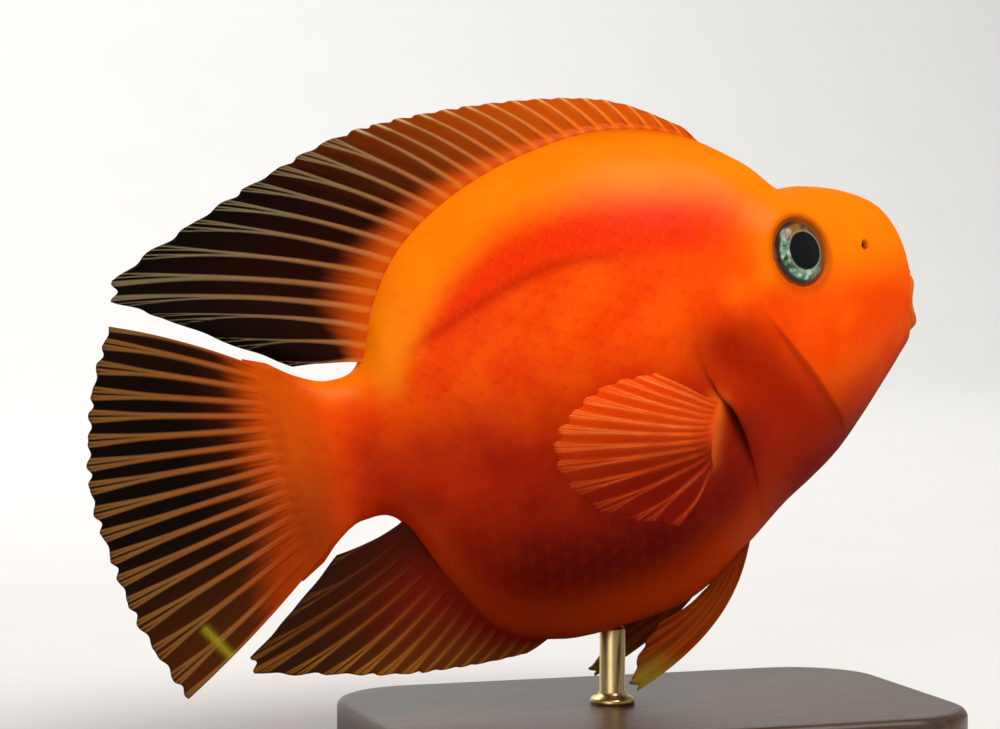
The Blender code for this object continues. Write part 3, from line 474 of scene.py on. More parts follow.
def scale_nodes(paint):
    """Height of round overlapping scales, 0 under an edge and 1 at it, from the values
    lengthwise and girth, both counted in scales."""
    row, inside = paint.math("FLOOR", "lengthwise"), paint.math("FRACT", "lengthwise")

    def edge(number):
        shift = paint.times(paint.math("FLOORED_MODULO", number, 2.0), 0.5)
        across = paint.math("FRACT", paint.math("ADD", "girth", shift))
        centred = paint.plus(across, 2.0, -1.0)
        return paint.times(paint.math("SQRT", paint.less(1.02, paint.times(centred, centred))), 0.62)

    here = paint.less(edge(row), inside)
    behind = paint.less(paint.math("ADD", edge(paint.math("ADD", row, 1.0)), 1.0), inside)
    is_here = paint.math("GREATER_THAN", here, 0.0)
    return paint.node("ShaderNodeMix", ((0, is_here), (2, behind), (3, here)), data_type="FLOAT")


def tail_flesh(paint):
    """Colour of the flesh over the roots of the tail fin's rays, on the skin and the fin, darker low down
    as painted shade from the top light.
    """
    high = paint.mix((0.52, 0.052, 0.001), (0.62, 0.085, 0.002), paint.noise(5.0, 3.0))
    return paint.mix((0.30, 0.030, 0.001), high, "high")


def skin_material():
    """Orange skin: first the markings and the painted light and shade from below upwards, then the scales
    and speckles.
    """
    paint = Paint("skin_paint", Specular_IOR_Level=0.0, Coat_Weight=0.07, Coat_Roughness=0.26)
    cloud, grain = paint.noise(9.0, 4.0), paint.noise(1.6, 3.0)
    patches = paint.step(0.3, 0.7, cloud)
    paint.colour = paint.mix((0.84, 0.044, 0.001), (0.95, 0.092, 0.001), paint.step(0.25, 0.75, cloud))
    paint.over(paint.mix((0.84, 0.055, 0.001), (0.92, 0.088, 0.001), patches), "face")
    # painted light from above: the top of the head yellower
    paint.over((0.95, 0.195, 0.001), "brow")
    # painted shade under the head
    paint.over((0.13, 0.004, 0.0003), "chin")
    # painted shade on the lower jaw under the lips, browner
    paint.over((0.46, 0.085, 0.004), "muzzle")
    paint.over((0.80, 0.018, 0.0005), "red", paint.plus(patches, 0.35, 0.65))
    paint.over((0.95, 0.215, 0.001), "yellow", paint.plus(cloud, 0.3, 0.75))
    # lower flank: a deeper red, partly its own colour and partly painted shade from the top light
    paint.over(paint.mix((0.30, 0.009, 0.0005), (0.42, 0.018, 0.0005), patches), "lower")
    # painted shade under the belly, and the brownish nape
    paint.over((0.085, 0.001, 0.0005), "maroon")
    paint.over((0.58, 0.048, 0.001), "keel")
    # painted shade on the gill cover
    paint.over((0.30, 0.010, 0.0005), "gill")
    paint.over((0.95, 0.17, 0.002), "streak")
    paint.over((0.45, 0.008, 0.0005), "line")
    paint.over((0.85, 0.16, 0.012), "fleshy")
    paint.over(tail_flesh(paint), "tail")
    paint.over((0.62, 0.14, 0.02), "lip")
    # painted shadow below the gill slit, and the skin's own darker rim round each eye
    paint.over((0.13, 0.004, 0.001), "shade")
    # painted shade in recesses: inside the mouth, under the gill flap and in the nares
    paint.over((0.04, 0.002, 0.001), "deep")
    distance = scale_nodes(paint)
    paint.over((1.0, 0.26, 0.02), paint.fade(0.0, 0.16, distance), "scaled", "fair", 0.07)
    paint.over((0.45, 0.012, 0.001), paint.step(0.75, 1.25, distance), "scaled", 0.16)
    paint.over((1.0, 0.22, 0.01), paint.step(0.56, 0.72, grain), "fair", 0.06)
    tilt = paint.times(paint.less(1.0, distance), "scaled")
    normal = paint.bump(grain, 0.05, 0.35, paint.bump(tilt, 0.12, 0.4))
    return paint.finish(Roughness=paint.plus(grain, 0.20, 0.24), Normal=normal)


# Body

def mouth_line(angle):
    """Centre line of the lips, from the upper lip at 0 round the right corner."""
    lower = 0.5 - 0.5 * np.cos(angle)
    back = LOWER_LIP_BACK * lower + MOUTH_CORNER_BACK * np.sin(angle) ** 2
    return point(back, MOUTH_UP + MOUTH_HALF_HEIGHT * np.cos(angle), -MOUTH_HALF_WIDTH * np.sin(angle))


def face_start(angles):
    """Where the face begins outside the lips, further back beside their corners."""
    return 1.40 + 0.44 * np.sin(angles) ** 2


def mouth_rows(angles):
    """Rings from the depth of the mouth over the lips to the face, and how much painted shade inside the
    mouth each gets.
    """
    outward = point(0.0, np.cos(angles), -np.sin(angles))
    forward = point(-1.0, 0.0, 0.0)
    lips = mouth_line(angles)
    tube = mix(LOWER_LIP, UPPER_LIP, 0.5 + 0.5 * np.cos(angles))
    tube = mix(tube, CORNER_LIP, np.sin(angles) ** 4)[:, None]
    keys = []
    for back, share in ((MOUTH_DEPTH, 0.22), (4.6, 0.46), (2.6, 0.55)):
        wide = MOUTH_HALF_WIDTH * share * np.sin(angles)
        keys.append(point(back, MOUTH_UP + MOUTH_HALF_HEIGHT * share * np.cos(angles), -wide))
    for turn in (170, 130, 90, 50, 12):
        b = math.radians(turn)
        keys.append(lips + outward * tube * math.cos(b) + forward * tube * math.sin(b))
    groove = face_start(angles) - 0.42
    here, normal, _, _ = skin_frame(groove, angles)
    keys.append(here - normal * 0.30)
    keys.append(surface(groove + 0.20, angles))
    keys.append(surface(groove + 0.42, angles))
    t = np.linspace(0.0, len(keys) - 1.0, MOUTH_ROWS)
    return spline(np.array(keys), t), fade(1.2, 3.4, t)


def skin_rows(angles):
    """All rings of the skin, with values that follow the stretches of the head."""
    down = degrees_down(angles)
    cheek_back, gill_back = along(CHEEK_EDGE, down), along(GILL_EDGE, down)
    cheek, behind = t_at(angles, cheek_back), t_at(angles, cheek_back + CHEEK_GAP)
    gill = t_at(angles, gill_back)
    cheek_share = plate_share(angles, CHEEK_FROM, CHEEK_TO)
    below = down - 100
    fullness = bell(below, np.where(below < 0, 10.0, 18.0))
    gill_share = plate_share(angles, GILL_FROM, GILL_TO) * mix(0.14, 1.0, fullness)
    # Each row's marks: painted shade inside the mouth, the share of the face, and the slit under the gill
    # flap.
    rows, deep = mouth_rows(angles)
    rows, marks = list(rows), [(d * np.ones(len(angles)), 0.0 * angles, 0.0 * angles) for d in deep]

    def add(t, lift, face, slit=0.0):
        rows.append(surface(t, angles, lift))
        marks.append((0.0 * angles, face + 0.0 * angles, slit * gill_share))

    for i in range(1, FACE_ROWS + 1):
        share = i / FACE_ROWS
        add(mix(face_start(angles), cheek, share), CHEEK_LIFT * smooth(0.5, 1.0, share) * cheek_share, 1.0)
    for i in range(1, CHEEK_ROWS + 1):
        share = i / CHEEK_ROWS
        lift = mix(CHEEK_LIFT, -CHEEK_DROP, smooth(0.0, 0.8, share)) * cheek_share
        add(mix(cheek, behind, share), lift, fade(0.2, 0.7, share))
    for i in range(1, GILL_ROWS + 1):
        share = i / GILL_ROWS
        lift = mix(-CHEEK_DROP * cheek_share, GILL_LIFT * gill_share, smooth(0.0, 0.85, share))
        add(mix(behind, gill, share), lift, 0.0)
    # The flap's edge is rounded and turned under, and the skin comes out from below it. Each row holds the
    # step back, the lift and the slit's share, which gets painted shade in the gap under the flap and loses
    # its scales.
    flap = [
        (0.30, 1.02, 0.0), (0.46, 0.74, 0.1), (0.40, 0.42, 0.6), (-0.15, 0.12, 1.0), (-1.0, -0.22, 1.0),
        (-1.2, -0.62, 1.0), (-0.2, -0.72, 1.0), (0.9, -0.5, 0.7), (2.0, -0.22, 0.25),
        (FLAP_LENGTH, -0.04, 0.0),
    ]
    for i, (step, lift, slit) in enumerate(flap):
        even = FLAP_LENGTH * (i + 1) / len(flap)
        back = gill_back + mix(even, step, gill_share)
        add(t_at(angles, back), lift * gill_share, 0.0, slit)
    start, end = t_at(angles, gill_back + FLAP_LENGTH), t_at(angles, STALK_FROM)
    for i in range(1, TRUNK_ROWS + 1):
        add(mix(start, end, i / TRUNK_ROWS), 0.0, 0.0)
    for i in range(1, STALK_ROWS + 1):
        add(mix(end, LAST_RING, i / STALK_ROWS), 0.0, 0.0)
    last = rows[-1]
    fan = unit(point(34.0, (last[:, 1] - 3.4) * 0.72, 0.0))
    for i in range(1, TAIL_ROWS + 1):
        share = i / TAIL_ROWS
        reach = FLESH_ON_TAIL * share * (1.0 + 0.10 * np.sin(last[:, 1] * 2.6) * share)
        ring = last + fan * reach[:, None]
        ring[:, 2] = last[:, 2] * mix(1.0, 0.06, smooth(0.0, 1.0, share)) * (1 - share**4 * 0.9)
        rows.append(ring)
        marks.append((0.0 * angles, 0.0 * angles, 0.0 * angles))
    return np.array(rows), np.moveaxis(np.array(marks), 1, 0)


def feature_frame(at, right, level=0.0):
    """Origin and axes, round, backwards and outward, of a feature on the skin; level
    turns it down from the skin's slope."""
    here, normal, _, backwards = skin_frame(*on_skin(*at, right=right))
    normal = unit(normal - point(0.0, level, 0.0))
    across = unit(backwards - normal * np.sum(backwards * normal))
    return here, np.cross(normal, across), across, normal


def local(p, axes):
    """Distance from a feature's axis and height above its plane."""
    origin, x, y, z = axes
    away = p - origin
    return np.hypot(away @ x, away @ y), away @ z


def press(p, axes, profile, reach):
    """Moves the skin near a feature to a profile of (distance, height)."""
    r, h = local(p, axes)
    weight = fade(reach * 0.56, reach, r) * (np.abs(h) < 9)
    return p + axes[3] * ((along(profile, r) - h) * weight)[..., None]


ORBIT = [
    (0.0, -3.4), (5.6, -3.4), (6.4, -2.2), (6.85, -0.6), (7.15, 0.16), (7.5, 0.34), (8.0, 0.24),
    (8.9, -0.08), (10.4, -0.50), (12.6, -1.15), (15.0, -1.9),
]
ORBIT_REACH, NOSTRIL_REACH = 15.0, 3.2
NOSTRIL = [(0.0, -1.0), (0.45, -0.9), (0.85, -0.25), (1.2, 0.30), (1.6, 0.26), (2.3, 0.0), (2.8, 0.0)]

# Markings and painted shade, as back and up: edges of bands, and the ends of straight spots and streaks
YELLOW_EDGE = [
    (18, 35.0), (29, 35.5), (38, 35.0), (57, 38.6), (72, 40.4), (87, 38.4), (96.5, 33.5), (104, 27.5),
    (110, 20.5), (116, 12.0), (124, 8.0), (140, 9.0),
]
DARK_LINE = [
    (44, 23.0), (57.7, 26.3), (67.8, 28.4), (78.5, 29.0), (87, 27.8), (95.4, 25.4), (104.7, 22.0),
    (114, 18.6),
]
GILL_SHADE_SPOT = (50.0, 6.0), (34.0, -16.0)
NAPE_STREAK = (35.5, 27.0), (38.5, 17.0)
SLIT_SHADE = (51.0, -12.0), (56.5, -24.0)
TAIL_PATCH = (164.5, -21.8), (158.2, -32.0)


def segment_distance(p, ends):
    """Distance from the straight line between two points, and the share of the way along it."""
    start, end = np.asarray(ends, float)
    way = end - start
    f = np.clip(((p - start) @ way) / (way @ way), 0.0, 1.0)
    return np.linalg.norm(p - (start + f[..., None] * way), axis=-1), f


def scale_distance(lengthwise, girth):
    """The same round overlapping scales as the material's, for the mesh."""
    row, inside = np.floor(lengthwise), np.mod(lengthwise, 1.0)

    def edge(number):
        centred = 2 * np.mod(girth + 0.5 * np.mod(number, 2.0), 1.0) - 1
        return 0.62 * np.sqrt(1.02 - centred**2)

    here = edge(row) - inside
    return np.where(here > 0, here, edge(row + 1) + 1 - inside)


def scale_grid(p, slit):
    """Each point's place among the scales, lengthwise and round, and how far they show."""
    back, up = p[..., 0], p[..., 1]
    steps = np.linalg.norm(np.diff(p, axis=1, append=p[:, :1]), axis=-1)
    length = np.cumsum(steps, axis=1) - steps
    left_flank, right_flank = length[:, [SKIN_COLUMNS // 4]], length[:, [3 * SKIN_COLUMNS // 4]]
    is_left = np.arange(SKIN_COLUMNS) < SKIN_COLUMNS // 2
    girth = np.where(is_left, length - left_flank, right_flank - length) / SCALE_SIZE + 60.0
    scaled = smooth(36, 58, back) * (1 - slit) * fade(134, 140, back)
    scaled = np.maximum(scaled, 0.04 * smooth(24, 34, back) * fade(0.0, 1.0, slit))
    scaled = scaled * (1 - 0.65 * smooth(-3.0, 4.0, up - along(YELLOW_EDGE, back)))
    return back / (SCALE_SIZE * SCALE_OVERLAP), girth, scaled


def skin_marks(p, down, face):
    """How strongly each marking, painted light and painted shade shows at the skin's points. down is the
    angle from the ridge.
    """
    back, up, flank = p[..., 0], p[..., 1], p[..., :2]
    above_line = up - along(DARK_LINE, back)
    yellow = smooth(-5.5, 4.5, up - along(YELLOW_EDGE, back)) * smooth(20, 34, back)
    yellow = yellow * fade(115, 124, back + 0.35 * (14 - up))
    yellow = np.maximum(yellow, 0.7 * fade(24.0, 64.0, down) * band(104, 115, 130, 138, back))
    # The lower flank turns a deeper red, partly its own colour and partly painted shade from the top light.
    lower = fade(-11.0, 15.0, up - 0.12 * (back - 70) * smooth(70, 110, back))
    lower = lower * smooth(30, 46, back) * (1 - 0.45 * smooth(122, 132, back))
    # Painted shade under the belly, dark maroon.
    maroon = fade(-36.0, -8.0, up) * band(26, 44, 120, 134, back)
    nape = 0.45 * bell(down, 14.0) * band(30, 40, 56, 70, back)
    # Painted shade on the gill cover behind the cheek's edge, dark red.
    gill = fade(0.0, 14.0, segment_distance(flank, GILL_SHADE_SPOT)[0]) * (1 - face) * fade(6.0, 17.0, up) * 0.92
    streak = 0.8 * bell(segment_distance(flank, NAPE_STREAK)[0], 2.6)
    # Painted shade under the head: below the mouth's level and where the skin looks downwards, fading out
    # towards the gill cover's edge.
    chin = np.maximum(fade(-25.0, 2.0, up), 0.65 * smooth(112.0, 150.0, down)) * fade(34, 52, back)
    keel = fade(2.0, 17.0, up - up.min(axis=1, keepdims=True)) * band(34, 52, 110, 124, back)
    return {
        "face": mix(face, fade(30, 50, back), smooth(2.0, 13.0, up)),
        # painted light from above, yellower over the top of the head
        "brow": smooth(3.0, 17.0, up - 0.15 * back) * fade(30, 46, back),
        # painted shade under the head
        "chin": chin,
        # painted shade on the lower jaw under the lips
        "muzzle": 0.75 * bell(back, 5.0) * bell(up + 8.0, 8.0),
        "yellow": yellow,
        "red": smooth(-3.5, 3.5, above_line) * (1 - yellow) * band(34, 56, 108, 118, back),
        "line": 0.6 * bell(above_line, 1.25) * band(48, 84, 104, 115, back),
        # deeper red lower flank, partly painted shade
        "lower": lower,
        # painted shade under the belly, with the nape's brownish ridge
        "maroon": np.maximum(maroon, nape),
        "keel": keel * mix(0.78, 0.45, smooth(72, 104, back)),
        # painted shade on the gill cover
        "gill": gill,
        "streak": streak + 0.5 * bell(np.hypot(back - 45.0, up - 15.5), 3.2),
        "tail": smooth(127, 138, back),
        # the tail's flesh is darker below this height, as painted shade
        "high": smooth(-12.0, 10.0, up),
        # fair is low where the underside and the gill cover get painted shade, which weakens the light
        # scale edges and speckles there
        "fair": 1 - 0.8 * np.maximum.reduce((lower, maroon, gill, chin)),
    }


def make_skin():
    angles = math.pi + 2 * math.pi * np.arange(SKIN_COLUMNS) / SKIN_COLUMNS
    # The rows' first value is the painted shade inside the mouth.
    bare, (deep, face, slit) = skin_rows(angles)
    back, up = bare[..., 0], bare[..., 1]
    values = skin_marks(bare, np.broadcast_to(degrees_down(angles), back.shape), face)
    lengthwise, girth, scaled = scale_grid(bare, slit)
    values.update(lengthwise=lengthwise, girth=girth, scaled=scaled)
    values["lip"] = np.zeros(back.shape)
    values["lip"][:MOUTH_ROWS] = np.linspace(1.0, 0.0, MOUTH_ROWS)[:, None] ** 0.5

    root_distance, root_share = segment_distance(bare[..., :2], PECTORAL_ROOT)
    is_body = smooth(40, 52, back)
    values["fleshy"] = 0.8 * bell(root_distance, 2.0) * is_body * (1 - 0.5 * root_share)
    normals = grid_normals(bare, True)
    inward = np.sum(normals * (bare - point(back, 2.0, 0.0)), -1, keepdims=True) < 0
    relief = (0.75 - scale_distance(lengthwise, girth)) * SCALE_RELIEF * scaled
    mound = bell(root_distance, 2.3) * is_body * (np.abs(bare[..., 2]) > 12)
    p = bare + np.where(inward, -normals, normals) * (relief + mound)[..., None]

    # Painted shade in the nares, and the skin's own darker rim round each eye.
    nostril_shade, eye_ring = np.zeros(back.shape), np.zeros(back.shape)
    for right in (True, False):
        axes = feature_frame(EYE_AT, right, EYE_LEVEL)
        p = press(p, axes, ORBIT, ORBIT_REACH)
        r, h = local(p, axes)
        eye_ring = np.maximum(eye_ring, bell(r - 7.4, 0.9) * (np.abs(h) < 6))
        axes = feature_frame(NOSTRIL_AT, right)
        p = press(p, axes, NOSTRIL, NOSTRIL_REACH)
        r, h = local(p, axes)
        nostril_shade = np.maximum(nostril_shade, fade(0.7, 1.15, r) * (np.abs(h) < 4))
    # Painted shadow below the gill slit, by the pectoral fin's root; the same value also holds the skin's
    # own darker rim round each eye.
    shadow = bell(segment_distance(bare[..., :2], SLIT_SHADE)[0], 5.0)
    values["shade"] = np.maximum(0.7 * shadow, 0.42 * eye_ring)
    # Painted shade in the recesses: inside the mouth, in the gap under the gill flap, strongest low down by
    # the pectoral fin's root, and in the nares.
    gill_slit_shade = slit * mix(0.18, 1.0, bell(up + 8.0, 8.0))
    values["deep"] = np.maximum.reduce((deep, gill_slit_shade, nostril_shade))
    rings = placed(p)
    middles, replaced = rings[[0, -1]].mean(axis=1), ("head", "trunk", "tail_stalk")
    closed_piece("skin", rings, middles, values, skin_material(), "skin", replaced)


# Eyes

def eye_material():
    """A black pupil, an iris gold above and teal below with fine strands, and a dark rim."""
    paint = Paint(
        "eye_paint", Roughness=0.22, Specular_IOR_Level=0.1, Coat_Weight=0.32, Coat_Roughness=0.02
    )
    r, below = "from_axis", "low"
    rays = paint.noise(3.0, 4.0, paint.join(paint.times("turn", 0.045), paint.times(r, 0.0006)))
    blotch = paint.noise(3.5, 3.0)
    strands = paint.step(0.42, 0.60, rays)
    gold = paint.mix((0.050, 0.016, 0.003), (0.42, 0.19, 0.040), strands)
    teal = paint.mix((0.010, 0.075, 0.048), (0.40, 0.66, 0.54), strands)
    share = paint.step(0.42, 0.62, paint.plus(blotch, 0.40, paint.times(below, 0.7)))
    paint.colour = paint.mix(gold, teal, share)
    paint.over((0.010, 0.17, 0.030), paint.step(0.50, 0.80, below), paint.step(0.42, 0.56, blotch), 0.8)
    paint.over((0.02, 0.02, 0.012), paint.step(0.48, 0.60, paint.noise(2.2, 3.0)), 0.85)
    gleam = paint.step(0.44, 0.68, paint.noise(1.4, 3.0))
    paint.over((0.62, 0.80, 0.66), gleam, paint.step(0.55, 0.85, below), 0.75)
    paint.over((0.085, 0.036, 0.009), paint.step(0.50, 0.90, "ahead"), 0.85)
    from_ring = paint.math("ABSOLUTE", paint.less(r, PUPIL + 0.3))
    paint.over((0.50, 0.42, 0.16), paint.fade(0.0, 0.3, from_ring), rays, 0.8)
    paint.over((0.002, 0.003, 0.004), paint.fade(PUPIL - 0.12, PUPIL + 0.12, r))
    rim = paint.mix((0.030, 0.012, 0.006), (0.20, 0.050, 0.008), paint.step(0.35, 0.80, "ahead"))
    paint.over(rim, paint.step(IRIS - 0.75, IRIS - 0.25, paint.plus(rays, 0.3, r)))
    paint.over((0.30, 0.060, 0.006), paint.step(IRIS + 0.10, IRIS + 0.35, r))
    return paint.finish(Normal=paint.bump(rays, 0.05, 0.4))


def make_eye(right, material):
    """The ball of the eye, on the same axis as its solid, flatter over the pupil."""
    origin, x, y, z = feature_frame(EYE_AT, right, EYE_LEVEL)
    rows, sides = 44, 64
    a = np.linspace(0.02, math.pi - 0.02, rows)[:, None]
    b = 2 * math.pi * np.arange(sides)[None, :] / sides
    r = EYE_RADIUS * np.sin(a) + 0.0 * b
    h = EYE_DEPTH * np.cos(a) - EYE_SUNK + 0.0 * b
    h = h - PUPIL_FLAT * fade(PUPIL - 0.5, PUPIL + 0.3, r) * (h > 0)
    way = np.cos(b)[..., None] * x + np.sin(b)[..., None] * y
    p = origin + r[..., None] * way + h[..., None] * z
    rise, rear = way[..., 1] + 0.0 * r, way[..., 0] + 0.0 * r
    values = {
        "from_axis": r,
        "turn": 10 * np.abs(b / math.pi - 1) + 0.0 * r,
        "low": 0.5 - 0.42 * rise + 0.38 * rear,
        "ahead": 0.5 - 0.5 * rear,
    }
    front, inner = EYE_DEPTH - EYE_SUNK - PUPIL_FLAT, EYE_DEPTH + EYE_SUNK
    middles = placed(np.array((origin + z * front, origin - z * inner)))
    suffix = "_right" if right else "_left"
    closed_piece("eyeball" + suffix, placed(p), middles, values, material, "eye", ("eye" + suffix,))


# Fins

class Rays:
    """The spines and soft rays of one fin, each a curve from root through bend to tip."""

    def __init__(self, rows):
        """Each row holds root, bend, tip, grip and whether it is a spine. The grip is the
        way that the fin's face looks at the root."""
        columns = (np.array(column, float) for column in zip(*rows))
        self.roots, self.bends, self.tips, self.grips, self.spiny = columns

    def at(self, place, s):
        """Points of the fin at places counted in rays, and shares of the way out."""
        i = np.clip(np.floor(place).astype(int), 0, len(self.roots) - 2)
        f, s = (place - i)[..., None], s[..., None]
        root, bend, tip = (mix(v[i], v[i + 1], f) for v in (self.roots, self.bends, self.tips))
        return root * (1 - s) ** 2 + bend * 2 * s * (1 - s) + tip * s * s


def read_margin(margin, ray):
    rows = np.array(margin)
    return spline(rows[:, 1:], np.interp(ray, rows[:, 0], np.arange(len(rows))))


def ray_relief(rays, place, s, broad):
    """Half thickness of a fin, how far its margin dips, and the values of its material."""
    last = len(rays.roots) - 1
    nearest = np.clip(np.round(place).astype(int), 0, last)
    spine, offset = rays.spiny[nearest], place - nearest
    other = np.clip(np.where(offset >= 0, nearest + 1, nearest - 1), 0, last)
    other = np.where(other == nearest, np.where(nearest == 0, 1, nearest - 1), other)
    pitch = np.linalg.norm(rays.at(other + 0.0 * s, s) - rays.at(nearest + 0.0 * s, s), axis=-1)
    out = np.clip(s, 0.0, 1.0)
    fork, second = (smooth(start, 1.05, out) * (1 - spine) for start in (FORK_AT, SECOND_FORK_AT))
    crest = np.abs(np.abs(offset) * pitch - FORK_SPREAD * pitch * fork)
    crest = np.abs(crest - SECOND_FORK_SPREAD * pitch * second)
    width = broad * mix(*SOFT_WIDTHS, out) * mix(1.0, FORKED_WIDTH, fork)
    width = np.where(spine > 0, mix(*SPINE_WIDTHS, out), width)
    thick = np.where(spine > 0, mix(SPINE_ROOT, SPINE_TIP, out), mix(RAY_ROOT, RAY_TIP, out))
    height = MEMBRANE + (thick - MEMBRANE) * np.sqrt(np.clip(1 - (crest / width) ** 2, 0.0, 1.0))
    dip = smooth(0.10, 0.5, np.abs(offset) + 0.0 * s) * mix(1.0, 1.5, spine)
    values = {"glow": bell(crest, width * 1.25), "out": out}
    values.update(place=place / last + 0.0 * s, spiny=spine + 0.0 * s)
    return height, dip, values


def sheet_normals(rays, place, middle, out):
    """Unit normals of a fin's middle sheet, turned to the rays' grips at their roots."""
    normal = grid_normals(middle, False)
    i = np.clip(np.floor(place[:, 0]).astype(int), 0, len(rays.grips) - 2)
    grip = mix(rays.grips[i], rays.grips[i + 1], place - i[:, None])[:, None, :]
    normal = normal * np.where(np.sum(normal * grip, -1, keepdims=True) < 0, -1.0, 1.0)
    return unit(mix(normal, unit(grip), ((1 - out) ** 6)[..., None]))


def sheet_faces(wide, tall):
    """Faces and map places of both sides of a grid and of the border between them."""
    half = wide * tall
    inner = grid_faces(wide, tall, False, half)[:, ::-1]
    faces = list(np.vstack((grid_faces(wide, tall, False), inner)))
    uv_inner = grid_uv(wide, tall, False, 0.51, 1.0).reshape(-1, 4, 2)[:, ::-1]
    uv = [grid_uv(wide, tall, False, 0.0, 0.49), uv_inner]
    border = [(i * tall, (i + 1) * tall, 1) for i in range(wide - 1)]
    border += [(a + tall - 1, b + tall - 1, -1) for a, b, _ in border]
    border += [(j, j + 1, -1) for j in range(tall - 1)]
    border += [(half - tall + j, half - tall + j + 1, 1) for j in range(tall - 1)]
    for a, b, way in border:
        faces.append((a, b, b + half, a + half)[::way])
        uv.append(np.array((0.49 * (a % tall) / (tall - 1), (a // tall) / (wide - 1)) * 4))
    return faces, uv


def make_fin(
    name, node, rays, material, grid=(20, 40), scallop=0.02, sink=1.2, foot=0.95, broad=1.0, marks=None
):
    """A fin as one thin closed sheet, thicker along each ray, which forks twice. grid is
    the columns from ray to ray and the rows outwards. sink is how far the root goes into
    the skin, foot its half thickness there, and broad widens the soft rays."""
    per_gap, rows = grid
    count = len(rays.roots)
    place = np.linspace(0.0, count - 1.0, (count - 1) * per_gap + 1)[:, None]
    lengths = np.interp(place, np.arange(count), np.linalg.norm(rays.tips - rays.roots, axis=-1))
    start = -sink / lengths
    s = start + (1.0 - start) * (np.arange(rows + 1) / rows)[None, :] ** 0.95
    height, dip, values = ray_relief(rays, place, s, broad)
    out = values["out"]
    reach = 1 - scallop * dip - 0.004 * np.sin(place * 9.1)
    middle = rays.at(place + 0.0 * s, np.where(s > 0, s * reach, s))
    away = sheet_normals(rays, place, middle, out) * np.maximum(height, foot * (1 - out) ** 10)[..., None]
    values["out_mm"] = out * lengths
    if marks:
        values.update(marks(values, middle))
    doubled = {key: np.stack((v, v)) for key, v in values.items()}
    sides = placed(np.stack((middle + away, middle - away)))
    piece(name, sides, *sheet_faces(*s.shape), doubled, material, "fin", (node,))


def ridge_root(line_angle, back):
    """Points on the ridge or the keel, just off the skin along the profile's normal."""
    t = t_at(line_angle, back)
    run = surface(t + 0.02, line_angle) - surface(t - 0.02, line_angle)
    way = 1 if line_angle == RIDGE else -1
    normal = unit(point(-way * run[..., 1], way * run[..., 0], 0.0))
    root = surface(t, line_angle) + normal * ROOT_GAP
    root[..., 2] = 0.0
    return root


def arc_steps(line_angle, start, end, count):
    """Distances behind the mouth that lie evenly along the ridge or the keel."""
    t = np.linspace(t_at(line_angle, start), t_at(line_angle, end), 201)
    spots = surface(t, line_angle)
    lengths = np.concatenate(([0.0], np.cumsum(np.linalg.norm(np.diff(spots, axis=0), axis=-1))))
    return np.interp(np.linspace(0.0, lengths[-1], count), lengths, spots[:, 0])


def unpaired(margin, line_angle, start, end, spines, soft, sway):
    """Rays of a fin on the ridge or the keel. The last tip stands sway to the side."""
    rows, count = [], spines + soft
    for k, root in enumerate(ridge_root(line_angle, arc_steps(line_angle, start, end, count))):
        tip = point(*read_margin(margin, k), sway * (k / (count - 1)) ** 2)
        away = point(-(tip - root)[1], (tip - root)[0], 0.0) * (1 if line_angle == RIDGE else -1)
        bend = (root + tip) / 2 + away * 0.06
        bend[2] = tip[2] * 0.35
        rows.append((root, bend, tip, SIDEWAYS, k < spines))
    return Rays(rows)


def caudal_rays():
    rows = []
    for k in range(CAUDAL_RAYS):
        rise = mix(CAUDAL_RISE, -CAUDAL_RISE, k / (CAUDAL_RAYS - 1))
        here = surface(LAST_RING, math.acos(rise))
        root = point(here[0] + ROOT_GAP, here[1], 0.0)
        tip = point(*read_margin(CAUDAL_MARGIN, k), 0.0)
        bend = (root + tip) / 2 + point(0.0, CAUDAL_BEND * rise**3, 0.0)
        rows.append((root, bend, tip, SIDEWAYS, False))
    return Rays(rows)


def pectoral_rays(out):
    rows = []
    for k in range(PECTORAL_RAYS):
        share = k / (PECTORAL_RAYS - 1)
        here, normal, _, backwards = skin_frame(*on_skin(*mix(*PECTORAL_ROOT, share), out < 0))
        root = here + normal * ROOT_GAP
        side = out * (PECTORAL_OUT + PECTORAL_CUP * math.sin(math.pi * share))
        tip = point(*read_margin(PECTORAL_MARGIN, k), side)
        bend = root + normal * PECTORAL_RISE + (tip - root) * PECTORAL_BEND
        rows.append((root, bend, tip, -backwards, False))
    return Rays(rows)


def pelvic_rays(out):
    rows = []
    angle = KEEL + out * math.radians(PELVIC_ANGLE)
    for k in range(PELVIC_SOFT + 1):
        share = k / PELVIC_SOFT
        here, normal, round_it, _ = skin_frame(t_at(angle, mix(PELVIC_FROM, PELVIC_TO, share)), angle)
        root = here + normal * ROOT_GAP
        side = out * mix(PELVIC_OUT_FRONT, PELVIC_OUT_REAR, share)
        tip = point(*read_margin(PELVIC_MARGIN, k), side)
        rise = mix(PELVIC_RISE_FRONT, PELVIC_RISE_REAR, share)
        bend = root + normal * rise + (tip - root) * PELVIC_BEND
        rows.append((root, bend, tip, round_it * (1.0 if round_it[2] > 0 else -1.0), k == 0))
    return Rays(rows)


def fin_paint(name, roughness=0.42):
    """Starts a fin's material: a helper, its noise along the rays and fine joints."""
    paint = Paint(
        name, Roughness=roughness, Specular_IOR_Level=0.0, Coat_Weight=0.06, Coat_Roughness=0.25
    )
    streaks = paint.noise(1.0, 4.0, paint.join(paint.times("place", 0.10), paint.times("out_mm", 0.00008)))
    return paint, streaks, paint.math("PINGPONG", "out_mm", 0.55)


def finish_fin(paint, streaks, joints, **inputs):
    relief = paint.bump(paint.times(joints, "glow", paint.less(1.0, "spiny")), 0.06, 0.4)
    return paint.finish(Normal=paint.bump(streaks, 0.10, 0.5, relief), **inputs)


